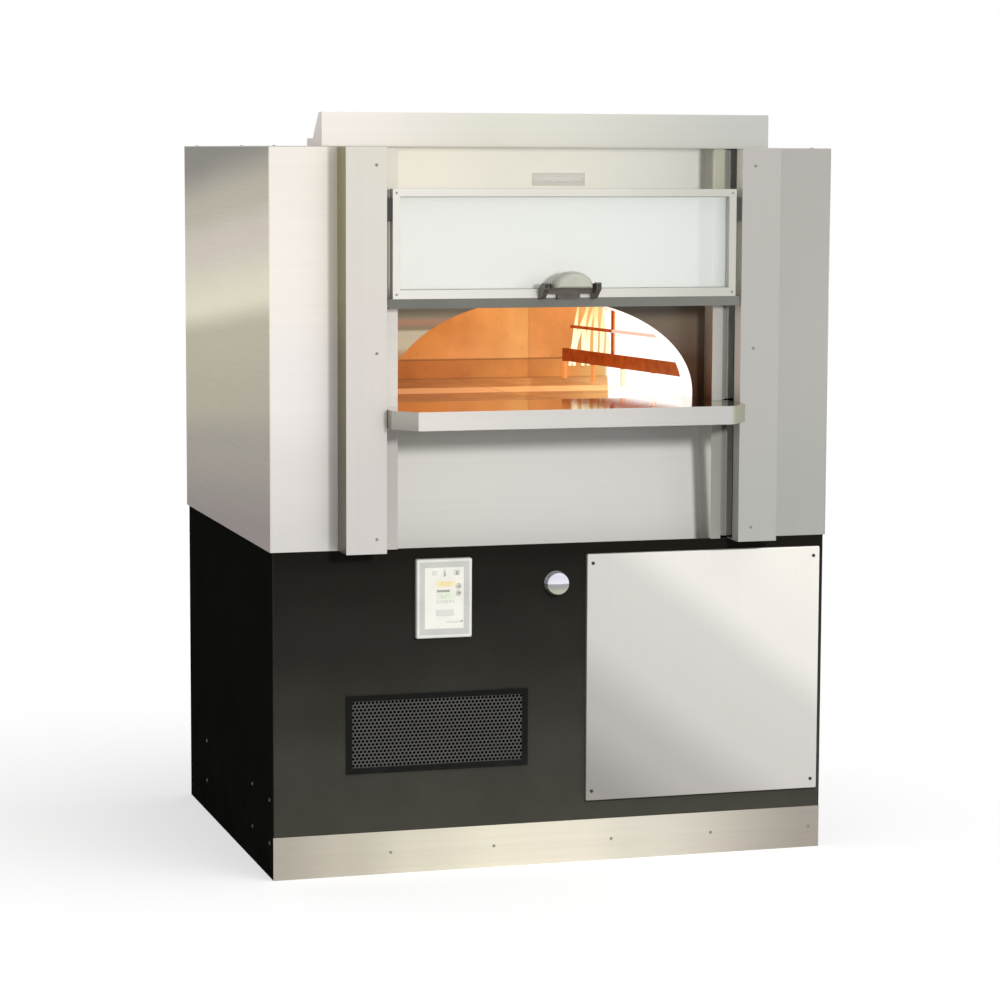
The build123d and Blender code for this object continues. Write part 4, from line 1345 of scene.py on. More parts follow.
@dataclass
class Controls(Assembly):
    """The temperature controller and the flame knob.

    Each mark holds how far it is from the controller's middle, its height over the floor, its width, its own
    height and how far it stands off the face.
    """

    centre: Pair = (-0.274, 0.65)
    size: Pair = (0.135, 0.187)
    corner: float = 0.0045
    rim_profile: tuple[Pair, ...] = ((0.0022, 0.0), (0.0016, 0.0009), (0.003, 0.0014), (0.006, 0.0014),
                                     (0.0076, 0.0007), (0.0078, 0.0))
    digit_size: Pair = (0.005, 0.0088)
    digit_step: float = 0.0085
    digit_inset: float = 0.007
    bar_width: float = 0.0009
    bar_places: tuple[Pair, ...] = ((0, 2), (1, 1), (1, -1), (0, -2), (-1, -1), (-1, 1), (0, 0))
    ink_depth: float = 0.0003
    arrow: tuple[Pair, ...] = ((-0.0026, -0.0018), (0.0026, -0.0018), (0.0, 0.0026))
    dark_marks: Marks = ((0.001, 0.7075, 0.0035, 0.01, 0.0002), (0.031, 0.7095, 0.006, 0.009, 0.0002),
                         (-0.0025, 0.6675, 0.031, 0.0055, 0.0), (0.0425, 0.5955, 0.004, 0.005, 0.0002))
    pale_marks: Marks = ((-0.024, 0.7105, 0.012, 0.011, 0.0), (0.001, 0.7105, 0.006, 0.019, 0.0),
                         (0.031, 0.7105, 0.015, 0.014, 0.0), (0.002, 0.616, 0.044, 0.015, 0.0),
                         (0.025, 0.5945, 0.042, 0.0035, 0.0),
                         *((-0.0145 + 0.0072 * k, 0.6425, 0.0052, 0.007, 0.0) for k in range(6)))
    knob: Pair = (0.003, 0.675)
    knob_radius: float = 0.029
    knob_rim: float = 0.0273
    knob_crown: float = 0.021
    knob_depth: float = 0.026
    knob_edge: float = 0.005

    def finishes(self) -> None:
        """Dress the housing, the face, the panes, the keys and the stem."""
        self.dress(Moulded("housing_plastic", screen(196, 196, 190), 0.38, edge=0.0015), "controller_housing")
        self.dress(Moulded("face_print", screen(236, 234, 224), 0.4), "controller_face")
        self.dress(LitPane("display_glow", screen(246, 230, 184), 0.3, lower=screen(228, 236, 216), strength=0.55),
                   "display_windows")
        self.dress(Moulded("key_plastic", screen(200, 201, 194), 0.35), "key_up", "key_down")
        self.dress(CastMetal("stem_brass", screen(178, 146, 86), 0.3), "valve_stem")

    def rim(self) -> None:
        """Build the rounded bead round the front of the housing."""
        shape = Shape()
        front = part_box("controller_housing")[0].y + 0.0002
        rows = []
        for inset, rise in self.rim_profile:
            corner = self.corner - inset * 0.4
            half_x, half_z = (side / 2 - inset - corner for side in self.size)
            row = []
            for quarter, (right, over) in enumerate(((1, 1), (-1, 1), (-1, -1), (1, -1))):
                for angle in (math.pi / 2 * (quarter + k / 6) for k in range(7)):
                    row.append(Vector((self.centre[0] + half_x * right + corner * math.cos(angle), front - rise,
                                       self.centre[1] + half_z * over + corner * math.sin(angle))))
            rows.append(row)
        shape.skin(rows, capped=False)
        shape.piece("controller_rim", Moulded("rim_plastic", screen(222, 222, 214), 0.3), "oven", "controller_housing")

    def stroke(self, shape: Shape, x: float, z: float, size: Pair, y: float) -> None:
        """Lay one printed or lit bar flat on the surface at y, round a middle at x and z."""
        shape.prism(rectangle(*size), self.ink_depth, Facing.FRONT.at((x, y + 0.0001, z)))

    def digits(self) -> None:
        """Light a number in each display pane."""
        low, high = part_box("display_windows")
        for z, shown, name, colour in (
                (high.z - self.digit_inset, (Digit.SIX, Digit.FIVE, Digit.ZERO), "high_digits", screen(226, 196, 130)),
                (low.z + self.digit_inset, (Digit.SIX, Digit.TWO, Digit.FIVE), "low_digits", screen(186, 210, 186))):
            shape = Shape()
            for place, digit in enumerate(shown):
                self.digit(shape, (low.x + high.x) / 2 + (place - 1) * self.digit_step, z, digit, low.y)
            shape.piece(name, Moulded(name + "_ink", colour, 0.4), "oven", "display_windows")

    def digit(self, shape: Shape, x: float, z: float, digit: Digit, y: float) -> None:
        """Lay the lit bars of one digit.

        Args:
            shape: The mesh that it goes into.
            x: Its middle across.
            z: Its middle height.
            digit: The digit.
            y: The surface that it lies on.
        """
        (wide, tall), bar = self.digit_size, self.bar_width
        for lit, (across, up) in zip(digit.value, self.bar_places):
            if lit:
                size = (bar, tall / 2 - bar) if across else (wide - bar, bar)
                self.stroke(shape, x + across * wide / 2, z + up * tall / 4, size, y)

    def marks(self) -> None:
        """Print the arrows on the keys and the plain marks round the displays."""
        for name, body, way in (("key_up", "up_key", 1), ("key_down", "down_key", -1)):
            low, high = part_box(name)
            arrow = Shape()
            middle = ((low.x + high.x) / 2, low.y + 0.0001, (low.z + high.z) / 2)
            arrow.prism([(x * way, z * way) for x, z in self.arrow], self.ink_depth, Facing.FRONT.at(middle))
            arrow.piece(name + "_arrow", Moulded("arrow_ink", screen(92, 92, 86)), body, name)
        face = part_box("controller_face")[0].y
        dark, pale = Moulded("dark_ink", screen(164, 164, 152)), Moulded("pale_ink", screen(216, 215, 208))
        for name, marks, ink in (("controller_marks", self.dark_marks, dark),
                                 ("controller_pale_marks", self.pale_marks, pale)):
            shape = Shape()
            for across, height, wide, tall, lift in marks:
                self.stroke(shape, self.centre[0] + across, height, (wide, tall), face - lift)
            shape.piece(name, ink, "oven", "controller_face")

    def flame_knob(self) -> None:
        """Build the polished knob: a foot bead, a slightly tapered side and a domed face with a rounded edge."""
        shape = Shape()
        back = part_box("flame_knob")[1].y
        radius, edge = self.knob_radius, self.knob_edge
        profile = [(radius - 0.0012, 0.0), (radius, 0.0006), (radius, 0.0022), (radius - 0.0006, 0.003)]
        profile += [(self.knob_rim - edge + edge * math.cos(a), self.knob_crown - edge * 0.72 + edge * math.sin(a))
                    for a in (math.radians(6 + 7 * k) for k in range(10))]
        inner, rise = profile[-1]
        profile += [(inner * share + 0.0002, rise + (self.knob_depth - rise) * (1 - share ** 2))
                    for share in (1 - k / 9 for k in range(1, 10))]
        shape.lathe(profile, Facing.FRONT.at((self.knob[0], back, self.knob[1])), 96)
        # The chrome's stops are a painted reflection: light above a painted horizon and darker below it.
        chrome = MirrorMetal("polished_chrome", roughness=0.2, stops=(
            (0.0, 112, 114, 104), (0.22, 182, 186, 164), (0.42, 154, 152, 152), (0.49, 158, 156, 164),
            (0.52, 228, 227, 238), (0.75, 214, 212, 228), (0.95, 236, 236, 242), (1.0, 190, 190, 196)))
        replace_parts(shape.piece("knob_cap", chrome, "flame_control", "flame_knob"), "flame_knob")

    def build(self) -> None:
        """Build and dress the controls."""
        self.finishes()
        self.rim()
        self.digits()
        self.marks()
        self.flame_knob()


@dataclass
class Services(Assembly):
    """The gas union, pipes and valve, and the bushed knockout."""

    thread_start: Triple = (0.3, 0.5855, 0.18)
    thread_radius: float = 0.0134
    thread_pitch: float = 0.0018
    thread_steps: int = 28
    thread_points: int = 120
    thread_wire: float = 0.0005
    rib_start: Triple = (-0.42, 0.5905, 0.18)
    rib_pitch: float = 0.0012
    rib_profile: tuple[Pair, ...] = ((0.0149, 0.0), (0.0153, 0.0004), (0.0149, 0.0008))
    ribs: int = 3

    def build(self) -> None:
        """Dress the services and add their threads and ribs."""
        brass = CastMetal("union_brass", screen(186, 152, 92), 0.32, bright=screen(224, 200, 140))
        self.dress(brass, "gas_inlet")
        self.dress(CastMetal("valve_brass", screen(160, 130, 80), 0.45), "gas_valve")
        self.dress(CastMetal("black_pipe", screen(48, 46, 44), 0.55, metallic=0.5, depth=0.0004), "gas_pipes")
        self.dress(Moulded("gland_nylon", screen(34, 34, 34), 0.45), "cable_gland")
        thread, start = Shape(), Vector(self.thread_start)
        turns = [k / self.thread_steps for k in range(self.thread_points)]
        thread.tube([start + Vector((self.thread_radius * math.cos(2 * math.pi * turn), self.thread_pitch * turn,
                                     self.thread_radius * math.sin(2 * math.pi * turn))) for turn in turns],
                    self.thread_wire, 6)
        thread.piece("union_thread", brass, "oven", "gas_inlet")
        rings = Shape()
        x, y, z = self.rib_start
        for k in range(self.ribs):
            rings.lathe(list(self.rib_profile), Facing.BACK.at((x, y + self.rib_pitch * k, z)), 40)
        rings.piece("gland_ribs", Moulded("gland_rib_nylon", screen(30, 30, 30)), "oven", "cable_gland")


@dataclass
class Hearth(Assembly):
    """The cooking chamber, its burners and its flames."""

    burner_x: float = 0.425
    burner_y: Pair = (-0.175, 0.375)
    burner_top: float = 1.127
    ports: int = 44
    port_half: Pair = (0.0045, 0.0014)
    port_heights: Pair = (-0.003, 0.0012)
    seed: int = 11
    tongues: int = 26
    tongue_height: Pair = (0.15, 0.21)
    tongue_girth: Pair = (0.02, 0.027)
    tongue_lean: float = -0.05
    back_tongues: int = 7
    back_start: float = 0.413
    back_width: float = 0.115
    back_depth: float = 0.43
    back_height: Pair = (0.18, 0.24)
    back_girth: Pair = (0.006, 0.009)
    back_lean: float = 0.035
    rail_start: Triple = (0.394, -0.222, 1.233)
    rail_end: Triple = (0.298, 0.387, 1.233)
    rail_radius: float = 0.0042
    strap_share: float = 0.64
    strap_width: float = 0.014
    strap_heights: Pair = (1.172, 1.345)

    def finishes(self) -> None:
        """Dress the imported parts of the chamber."""
        # The walls' tones are painted firelight, laid as emission: lighter towards the flames at the right, with a
        # step at the joint.
        wall = partial(Sheen, ACROSS, -0.15, 0.4, wander=0.004)
        upper = wall(((0.0, 205, 114, 44), (0.15, 217, 127, 51), (0.3, 232, 139, 68), (0.45, 245, 155, 79),
                      (0.6, 253, 171, 91), (0.635, 253, 173, 93), (0.64, 226, 138, 68), (0.65, 244, 150, 75),
                      (0.85, 237, 142, 70), (0.93, 248, 180, 100), (1.0, 254, 204, 124)))
        lower = wall(((0.0, 180, 94, 30), (0.24, 196, 106, 45), (0.46, 214, 128, 57), (0.63, 227, 136, 62),
                      (0.64, 206, 118, 50), (0.68, 216, 127, 57), (0.84, 246, 154, 75), (1.0, 254, 196, 116)))
        self.dress(Refractory("cast_refractory", screen(92, 80, 66), 0.9, upper, lower), "refractory_dome")
        # The hearth's tones are painted firelight, laid as emission, turning white near the burner.
        glow = Sheen((1.0, -0.333, 0.0), -0.3, 0.3, (
            (0.0, 160, 92, 44), (0.19, 177, 106, 57), (0.51, 207, 127, 63), (0.59, 218, 142, 72), (0.61, 200, 120, 54),
            (0.75, 204, 126, 58), (0.9, 241, 172, 93), (0.945, 244, 180, 102), (0.953, 255, 252, 244)), 0.01)
        self.dress(HearthStone("hearth_stone", screen(100, 90, 78), 0.85, glow), "hearth_slab")
        self.dress(Wool("ceramic_wool", screen(232, 228, 216), 0.95), "insulation_blanket")
        # The burner and the guard glow with painted light of the flames, laid as emission.
        self.dress(FireLitSteel("burner_iron", screen(88, 60, 44), 0.7, glow_top=1.2, orange_from=1.0), "flame_burner")
        self.dress(FireLitSteel("scaled_guard_steel", screen(168, 86, 34), 0.6, scale=screen(120, 40, 10)), "flame_guard")
        self.dress(BrushedSteel("radiant_tray_steel", screen(150, 146, 140), 0.45), "underfloor_burner")
        self.dress(BrushedSteel("probe_steel", screen(176, 172, 166), 0.3), "thermocouple")
        self.dress(BrushedSteel("flue_steel", screen(170, 160, 148), 0.45, grain=Grain.ALONG_Z), "flue_duct")
        self.dress(PowderCoat("body_frame_paint", BLACK_PAINT, gloss=0.2), "body_frame")

    def flames(self) -> None:
        """Build the tongues of flame along the burner and those that spread over the back wall."""
        picks = random.Random(self.seed)
        shape = Shape()
        near, far = self.burner_y
        for n in range(self.tongues):
            foot = Vector((self.burner_x, near + (far - near) * (n + 0.5) / self.tongues, self.burner_top - 0.004))
            tall, girth = picks.uniform(*self.tongue_height), picks.uniform(*self.tongue_girth)
            self.tongue(shape, picks, foot, tall, girth, self.tongue_lean)
        for n in range(self.back_tongues):
            across = self.back_start - self.back_width * (n + 0.5) / self.back_tongues
            foot = Vector((across, self.back_depth, self.burner_top))
            tall, girth = picks.uniform(*self.back_height), picks.uniform(*self.back_girth)
            self.tongue(shape, picks, foot, tall, girth, self.back_lean)
        shape.piece("flames", Flame("gas_flame"), "oven", "flame_burner")

    def tongue(self, shape: Shape, picks: random.Random, foot: Vector, tall: float, girth: float, lean: float) -> None:
        """Build one rippled tongue of flame.

        Args:
            shape: The mesh that it goes into.
            picks: The source of its uneven form.
            foot: Where it stands.
            tall: Its height.
            girth: Half its thickness.
            lean: How far its tip leans along X.
        """
        sway, drift = picks.uniform(0, 6.3), picks.uniform(-0.02, 0.02)
        rows = []
        for share in (k / 14 for k in range(15)):
            body = math.sin(math.pi * min(1.0, 0.12 + share * 0.88)) ** 0.6 * (1 - share) ** 0.35 + 0.02
            middle = foot + Vector((lean * share ** 1.5 + 0.005 * math.sin(sway + 5 * share),
                                    drift * share + 0.008 * math.sin(sway * 2 + 6 * share) * share, tall * share))
            row = []
            for angle in (2 * math.pi * i / 10 for i in range(10)):
                reach = girth * body * (1 + 0.18 * math.sin(3 * angle + 7 * share + sway))
                row.append(middle + Vector((reach * math.cos(angle) * 0.7, reach * math.sin(angle) * 1.15, 0)))
            rows.append(row)
        shape.skin(rows)

    def rail(self) -> None:
        """Build the thin upper rail over the flame guard and the strap that it hangs on."""
        shape = Shape()
        start, end = Vector(self.rail_start), Vector(self.rail_end)
        shape.tube([start.lerp(end, k / 12) for k in range(13)], self.rail_radius)
        along = (end - start).normalized() * self.strap_width / 2
        across = Vector((along.y, -along.x, 0)).normalized() * 0.002
        middle = start.lerp(end, self.strap_share) + across * 3.1
        sides = (along + across, across * 1.3, across - along, -along - across, -across * 1.3, along - across)
        shape.skin([[Vector((*(middle + side)[:2], height)) for side in sides] for height in self.strap_heights])
        # The rail glows with painted light of the flames low down, and a faint painted pink light in front of the
        # strap.
        steel = FireLitSteel("scaled_rail_steel", screen(200, 112, 50), 0.6, scale=screen(150, 70, 24), glow_top=1.1,
                         pink_light_to=middle.y - 0.012)
        shape.piece("upper_rail", steel, "oven", "flame_guard")

    def ribbon(self) -> None:
        """Build the burner's ported ribbon."""
        shape = Shape()
        near, far = self.burner_y
        wide, deep = self.port_half
        low, high = (self.burner_top + height for height in self.port_heights)
        for k in range(self.ports):
            y = near + (far - near) * (k + 0.5) / self.ports
            shape.slab((self.burner_x - wide, y - deep, low), (self.burner_x + wide, y + deep, high), 0.0004)
        steel = BrushedSteel("ribbon_steel", screen(120, 96, 80), edge=0.0002)
        shape.piece("burner_ribbon", steel, "oven", "flame_burner")

    def build(self) -> None:
        """Build and dress the chamber."""
        self.finishes()
        self.flames()
        self.rail()
        self.ribbon()


@dataclass
class Casing(Assembly):
    """The steel casing: side, front and roof panels, door posts, alcove, mantle and vent collar."""

    heights: Pair = (0.77, 1.7)
    post_screws: tuple[Pair, tuple[float, ...]] = ((-0.454, 0.462), (1.656, 1.229, 0.803))
    sheet_screws: tuple[float, ...] = (-0.66, -0.22, 0.22, 0.66)
    back_screws: tuple[float, ...] = (0.8, 1.24, 1.67)
    roof_screws: tuple[float, ...] = (0.56, 0.0, -0.36)
    plate_middle: Pair = (0.0375, 1.622)
    plate_size: Pair = (0.131, 0.03)
    plate_depth: float = 0.0014
    rivet: tuple[Pair, ...] = ((0.0024, 0.0013), (0.0021, 0.0022), (0.0008, 0.0026))
    rivet_inset: float = 0.006
    liner_box: tuple[float, float, float, float] = (0.4128, 0.449, -0.406, -0.4048)
    liner_heights: tuple[Pair, ...] = ((0.773, 1.05), (1.103, 1.694))

    def upward(self, stops: Stops, wander: float = 0.04) -> Sheen:
        """Give a sheen from the foot of the casing to its top."""
        return Sheen(UP, *self.heights, stops, wander)

    def outside(self) -> None:
        """Dress the side, back and roof panels and the vent collar."""
        leaning = partial(Sheen, (0.0, 0.0875, 1.0), *self.heights, wander=0.02)
        # Painted reflection: the left side is painted with a warm band a little above its middle, darker at top and
        # foot, and its metallic share follows the band.
        side = leaning(((0.0, 207, 197, 193), (0.23, 214, 206, 193), (0.34, 221, 213, 190), (0.52, 225, 218, 192),
                        (0.6, 245, 240, 212), (0.76, 236, 225, 211), (0.86, 225, 218, 197), (1.0, 205, 200, 192)))
        share = leaning(((0.0, 0.09), (0.23, 0.21), (0.34, 0.32), (0.52, 0.37), (0.6, 0.63), (0.76, 0.5),
                         (0.86, 0.36), (1.0, 0.06)))
        self.dress(BrushedSteel("side_steel", roughness=0.3, grain=Grain.ALONG_Y, sheen=side, metal=share,
                                contrast=0.04), "body_left_panel")
        # Painted sheen: the back and right panels are painted lightest a little above the middle, darker at top and
        # foot.
        plain = self.upward(((0.0, 166, 164, 158), (0.3, 184, 182, 175), (0.56, 204, 202, 194),
                             (0.64, 214, 212, 204), (0.74, 198, 196, 188), (1.0, 176, 174, 167)), 0.03)
        self.dress(BrushedSteel("plain_steel", roughness=0.38, sheen=plain), "body_back_panel", "body_right_panel")
        self.dress(BrushedSteel("roof_steel", screen(190, 187, 178), 0.38), "body_top_panel")
        # Painted light: the vent collar is painted lighter at its left and darker to its right.
        vent = Sheen(ACROSS, -0.55, 0.55, ((0.0, 240, 233, 226), (0.4, 217, 215, 204), (1.0, 188, 189, 184)), 0.04)
        self.dress(BrushedSteel("vent_steel", roughness=0.42, sheen=vent, metallic=0.4, contrast=0.03), "vent_fascia")

    def front(self) -> None:
        """Dress the front panels and the door posts."""
        sheet = partial(BrushedSteel, roughness=0.42, metallic=0.5)
        # Painted light and reflections on the front: the left panel is painted lighter towards the top, the right post
        # and panel darker than the left.
        left = self.upward(((0.0, 214, 210, 205), (0.18, 224, 218, 214), (0.38, 236, 231, 228), (0.7, 243, 236, 228),
                            (1.0, 239, 232, 223)))
        self.dress(sheet("left_front_steel", sheen=left, contrast=0.03), "front_left_panel")
        post = self.upward(((0.0, 205, 200, 196), (0.5, 212, 206, 200), (1.0, 214, 210, 199)))
        # Painted reflection and shade: the left post's side is painted dark olive, lighter towards the top.
        flank = self.upward(((0.0, 110, 103, 90), (0.2, 104, 98, 76), (0.46, 114, 109, 72), (0.67, 140, 136, 92),
                             (1.0, 152, 148, 108)), 0.02)
        self.dress(sheet("left_post_steel", grain=Grain.ALONG_Z, sheen=post, contrast=0.03, flank=flank),
                   "left_door_post")
        right = self.upward(((0.0, 173, 173, 168), (0.5, 177, 175, 170), (1.0, 179, 175, 170)))
        # Painted light: the right post's inner side is painted near white above its lower third, which makes up for
        # its shade.
        inner = self.upward(((0.0, 178, 177, 172), (0.26, 190, 189, 184), (0.42, 248, 246, 240),
                             (1.0, 254, 252, 247)), 0.03)
        self.dress(sheet("right_post_steel", grain=Grain.ALONG_Z, sheen=right, contrast=0.02, flank=inner),
                   "right_door_post")
        outer = self.upward(((0.0, 167, 168, 162), (0.5, 173, 171, 166), (1.0, 172, 168, 163)))
        self.dress(sheet("right_front_steel", grain=Grain.ALONG_Z, sheen=outer, contrast=0.02), "front_right_panel")

    def alcove(self) -> None:
        """Dress the header, the arch facade, the apron and the mantle."""
        # Painted light: the alcove's side walls are painted near white, which makes up for their shade.
        bright = self.upward(((0.0, 226, 224, 218), (1.0, 254, 252, 247)))
        sheet = partial(BrushedSteel, roughness=0.42, contrast=0.03, flank=bright, polish=(1.0, 0.1))
        # Painted light and shade: the header is painted lighter at its left, and its right jamb darker.
        header = Sheen(ACROSS, -0.33, 0.4, ((0.0, 246, 241, 228), (0.37, 234, 231, 218), (1.0, 218, 217, 210)), 0.04)
        self.dress(sheet("header_steel", sheen=header, metallic=0.15,
                         jambs=(screen(226, 221, 208), screen(172, 173, 154))), "header_panel")
        # Painted shade: the apron's jambs are painted darker, the right one darkest.
        apron = Sheen(ACROSS, -0.34, 0.4, ((0.0, 221, 218, 212), (1.0, 215, 214, 210)), 0.04)
        self.dress(sheet("apron_steel", sheen=apron, metallic=0.1,
                         jambs=(screen(186, 181, 176), screen(148, 146, 138))), "apron_panel")
        # Painted reflections, firelight and shade round the arch: bands by height at the left, darker at the right,
        # lighter on the side walls and darker on the right jamb.
        arch = partial(Sheen, UP, 1.1, 1.34)
        bay = arch(((0.0, 150, 112, 76), (0.45, 183, 130, 84), (0.55, 197, 180, 152), (0.69, 194, 178, 149),
                    (0.72, 141, 120, 95), (0.79, 165, 123, 98), (0.84, 142, 127, 106), (1.0, 139, 129, 112)), 0.01)
        dark_bay = arch(((0.0, 78, 54, 40), (0.35, 90, 66, 50), (0.55, 108, 90, 78), (0.75, 112, 99, 84),
                         (0.86, 84, 73, 61), (1.0, 112, 106, 96)), 0.02)
        bay_flank = arch(((0.0, 150, 112, 84), (0.5, 206, 184, 166), (1.0, 240, 226, 208)), 0.04)
        self.dress(ArchSteel("facade_steel", roughness=0.32, sheen=bay, far=dark_bay, metallic=0.3, flank=bay_flank,
                             jambs=(screen(214, 209, 202), screen(176, 174, 168))), "arch_facade")
        # Painted light and shade: the mantle is painted darker towards the right, with a shaded olive corner, and its
        # side darker at the foot.
        mantle = Sheen(ACROSS, -0.4, 0.42, ((0.0, 212, 207, 201), (0.5, 197, 194, 189), (0.94, 180, 178, 174),
                                            (0.955, 160, 157, 138), (1.0, 156, 153, 132)), 0.003)
        rim = Sheen(UP, 1.05, 1.1, ((0.0, 136, 132, 124), (1.0, 170, 165, 152)))
        self.dress(MantleSteel("mantle_steel", roughness=0.36, sheen=mantle, metallic=0.3, contrast=0.03, edge=0.002,
                               flank=rim), "mantle_shelf")

    def screws(self) -> None:
        """Set the screws of the door posts and the back and roof panels."""
        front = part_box("left_door_post")[0].y
        posts = Shape().screws([(x, front, z) for x in self.post_screws[0] for z in self.post_screws[1]],
                               Facing.FRONT, 0.0036)
        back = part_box("body_back_panel")[1].y - 0.0016
        rear = Shape().screws([(x, back, z) for x in self.sheet_screws for z in self.back_screws], Facing.BACK, 0.003)
        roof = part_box("body_top_panel")[1].z - 0.0005
        rear.screws([(x, y, roof) for x in self.sheet_screws for y in self.roof_screws if abs(x) > 0.6 or y > 0.1],
                    Facing.UP, 0.004)
        posts.piece("post_screws", SCREW_STEEL, "oven", "left_door_post")
        rear.piece("panel_screws", SCREW_STEEL, "oven", "body_back_panel")

    def liners(self) -> None:
        """Build the strip that closes each slot behind the way of the hangers, over and under the mantle."""
        shape = Shape()
        near, far, front, back = self.liner_box
        for left, right in ((-far, -near), (near, far)):
            for low, high in self.liner_heights:
                shape.slab((left, front, low), (right, back, high), 0.0005)
        # Painted shade: the liner strips are painted darker into the slot, where it lies in shade.
        tone = Sheen(ACROSS, near, far, ((0.0, 160, 159, 152), (0.25, 140, 139, 132), (0.48, 132, 130, 124),
                                         (0.62, 210, 208, 200), (1.0, 224, 222, 214)), 0.02)
        steel = BrushedSteel("liner_steel", roughness=0.4, grain=Grain.ALONG_Z, sheen=tone, metallic=0.1, edge=0.0004)
        shape.piece("slot_liners", steel, "oven", "arch_facade")

    def plate(self) -> None:
        """Build the small bare plate on the header, with two rivets."""
        shape = Shape()
        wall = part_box("header_panel")[1].y - 0.002
        place = Facing.FRONT.at((self.plate_middle[0], wall, self.plate_middle[1]))
        shape.prism(rectangle(*self.plate_size), self.plate_depth, place, 0.0005)
        for side in (-1, 1):
            across = side * (self.plate_size[0] / 2 - self.rivet_inset)
            shape.lathe(list(self.rivet), place @ Matrix.Translation((across, 0, 0)), 20)
        steel = BrushedSteel("blank_plate_steel", screen(214, 211, 202), 0.3, metallic=0.4, edge=0.0004)
        shape.piece("blank_plate", steel, "oven", "header_panel")

    def build(self) -> None:
        """Build and dress the casing."""
        self.outside()
        self.front()
        self.alcove()
        self.screws()
        self.liners()
        self.plate()


@dataclass
class Door(Assembly):
    """The sliding glass door, its handle and its hangers."""

    rail: float = 0.0175
    foot_rail: float = 0.02
    seal: float = 0.0016
    seal_depths: Pair = (-0.0018, -0.0001)
    bolt_reach: float = 0.063
    bolt_height: float = 1.381

    def finishes(self) -> None:
        """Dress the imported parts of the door."""
        # Painted light: the door frame is painted lighter at its left and darker to its right.
        tone = Sheen(ACROSS, -0.416, 0.416, ((0.0, 222, 219, 212), (0.5, 210, 208, 199), (1.0, 188, 186, 177)), 0.03)
        self.dress(BrushedSteel("door_frame_steel", roughness=0.4, sheen=tone, metallic=0.4, contrast=0.03,
                                edge=0.0015), "door_frame")
        self.dress(DoorGlass("door_glass", screen(238, 247, 250), 0.015), "door_glass")
        self.dress(PowderCoat("bar_black", screen(104, 104, 98), 0.4, dust_share=0.1), "door_bottom_bar")
        self.dress(PowderCoat("hanger_black", screen(62, 60, 56), 0.45, gloss=0.3, dust_share=0.1), "door_hangers")
        self.dress(CastMetal("bracket_iron", screen(96, 90, 84), 0.4, metallic=0.6), "handle_bracket")
        self.dress(Moulded("grip_plastic", screen(170, 170, 158), 0.3, edge=0.003), "handle_grip")

    def gasket(self) -> None:
        """Build the thin seal between the glass and the bars."""
        shape = Shape()
        low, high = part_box("door_frame")
        front, back = (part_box("door_glass")[0].y + depth for depth in self.seal_depths)
        left, right, foot, top = low.x + self.rail, high.x - self.rail, low.z + self.foot_rail, high.z - self.rail
        for near, far, under, over in ((left, right, foot, foot + self.seal), (left, right, top - self.seal, top),
                                       (left, left + self.seal, foot, top), (right - self.seal, right, foot, top)):
            shape.slab((near, front, under), (far, back, over), 0.0004)
        shape.piece("glass_seal", Moulded("seal_rubber", screen(150, 152, 150), 0.6), "door", "door_frame")

    def screws(self) -> None:
        """Set the screws of the hangers and the handle posts."""
        low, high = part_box("door_frame")
        frame = Shape().screws([(x, low.y, z) for x in (low.x + 0.009, high.x - 0.009)
                                for z in (low.z + 0.01, high.z - 0.009)], Facing.FRONT, 0.0026)
        frame.piece("door_screws", SCREW_STEEL, "door", "door_frame")
        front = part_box("handle_bracket")[0].y
        bolts = Shape().screws([(x, front, self.bolt_height) for x in (-self.bolt_reach, self.bolt_reach)],
                               Facing.FRONT, 0.0042)
        bolts.piece("handle_bolts", DARK_SCREW, "door", "handle_bracket")

    def build(self) -> None:
        """Build and dress the door."""
        self.finishes()
        self.gasket()
        self.screws()


@dataclass
class Lift(Assembly):
    """The counterweighted lift in each door post."""

    def build(self) -> None:
        """Dress the lift on both sides."""
        zinc = CastMetal("zinc_plate", screen(150, 152, 154), 0.4, fineness=18.0, depth=0.00004)
        iron = CastMetal("weight_iron", screen(70, 68, 66), 0.65, metallic=0.5, depth=0.0005)
        turned = CastMetal("turned_iron", screen(120, 118, 114), 0.35, depth=0.0001)
        rope = WireRope("lift_wire_rope", screen(160, 160, 158), 0.35)
        for side in ("left", "right"):
            self.dress(zinc, f"{side}_lift_frame")
            self.dress(iron, f"{side}_counterweight")
            self.dress(turned, f"{side}_top_pulley", f"{side}_idler_pulley")
            self.dress(rope, f"{side}_lift_cable")


